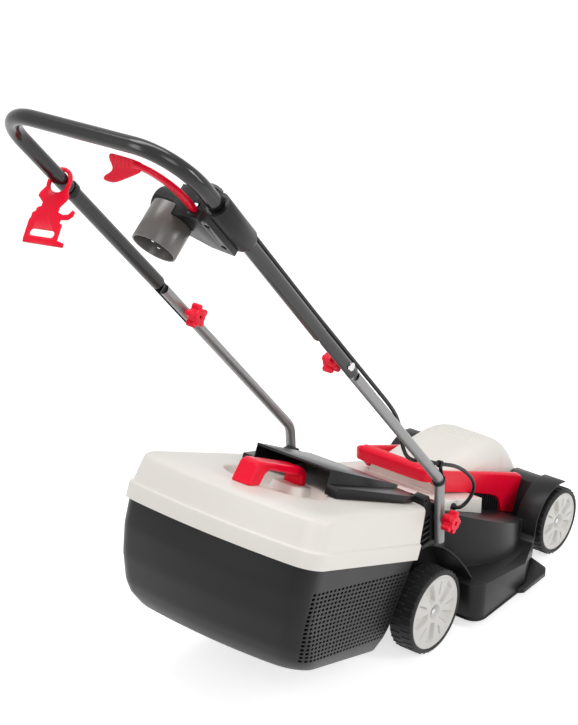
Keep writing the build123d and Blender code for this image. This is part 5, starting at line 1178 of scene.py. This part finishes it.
# ---------------- camera
CAMERA_PLACE = (1.8298, -2.39505, 1.9657)
AZIMUTH = math.radians(39.0)
ELEVATION = math.radians(24.5)           # how far the camera looks down
ROLL = math.radians(-0.4)
lens = bpy.data.cameras.new("camera")
lens.lens = 93.15
lens.sensor_width = 36.0
lens.shift_x = 0.0149
lens.shift_y = -0.0243
lens.clip_end = 50.0
camera = linked("camera", lens)
camera.location = CAMERA_PLACE
camera.rotation_euler = (Matrix.Rotation(AZIMUTH, 3, "Z") @ Matrix.Rotation(math.pi / 2 - ELEVATION, 3, "X")
                         @ Matrix.Rotation(ROLL, 3, "Z")).to_euler()
bpy.context.scene.camera = camera


# ---------------- floor, world and lamps
FLOOR_GLOW = 0.66                        # brings the far floor up to white
WORLD_LIGHT = 0.38                       # strength of the surroundings as light


def seen_ray(tree):
    """1 for what the camera sees, mirrored or through glass too, and 0 for light that falls on things."""
    path = tree.nodes.new("ShaderNodeLightPath").outputs
    seen = calculate(tree, "MAXIMUM", path["Is Camera Ray"], path["Is Glossy Ray"])
    return calculate(tree, "MAXIMUM", seen, path["Is Transmission Ray"])


def set_stage():
    """Pale floor under the whole object."""
    mesh = bpy.data.meshes.new("floor")
    reach = 30.0
    mesh.from_pydata([(-reach, -reach, 0), (reach, -reach, 0), (reach, reach, 0), (-reach, reach, 0)], [],
                     [(0, 1, 2, 3)])
    floor = linked("floor", mesh)
    floor.location.z = cad_low.z
    material = bpy.data.materials.new("Pale floor")
    material.use_nodes = True
    tree = material.node_tree
    glow = calculate(tree, "MULTIPLY", seen_ray(tree), FLOOR_GLOW)
    for label, value in (("Base Color", (0.80, 0.80, 0.80, 1)), ("Roughness", 0.9),
                         ("Emission Color", (1, 1, 1, 1)), ("Emission Strength", glow)):
        feed(tree, tree.nodes["Principled BSDF"].inputs[label], value)
    mesh.materials.append(material)


def set_world():
    """White surroundings that light the object softly and look plain white."""
    world = bpy.data.worlds.new("studio")
    bpy.context.scene.world = world
    world.use_nodes = True
    tree = world.node_tree
    background = tree.nodes["Background"]
    feed(tree, background.inputs["Color"], (1, 1, 1, 1))
    extra = calculate(tree, "MULTIPLY", seen_ray(tree), 1.0 - WORLD_LIGHT)
    feed(tree, background.inputs["Strength"], calculate(tree, "ADD", extra, WORLD_LIGHT))


def add_lamp(name, place, target, size, watts):
    """Rectangular lamp that faces a target."""
    data = bpy.data.lights.new(name, "AREA")
    data.shape = "RECTANGLE"
    data.size, data.size_y = size
    data.energy = watts
    lamp = linked(name, data)
    lamp.location = place
    lamp.rotation_euler = (Vector(target) - Vector(place)).to_track_quat("-Z", "Y").to_euler()


set_stage()
set_world()
add_lamp("overhead", (-0.3, -0.2, 2.9), (0, 0.1, 0.3), (0.8, 2.2), 34.0)
add_lamp("right_side", (2.7, 0.5, 1.5), (0, 0.1, 0.3), (0.5, 1.8), 30.0)
add_lamp("rear_left", (-1.0, -2.7, 1.7), (0, 0, 0.3), (0.7, 1.8), 15.0)
add_lamp("rear_right", (2.0, -2.2, 2.4), (0, 0.1, 0.3), (1.2, 1.2), 15.0)
bpy.context.scene.view_settings.view_transform = "Standard"
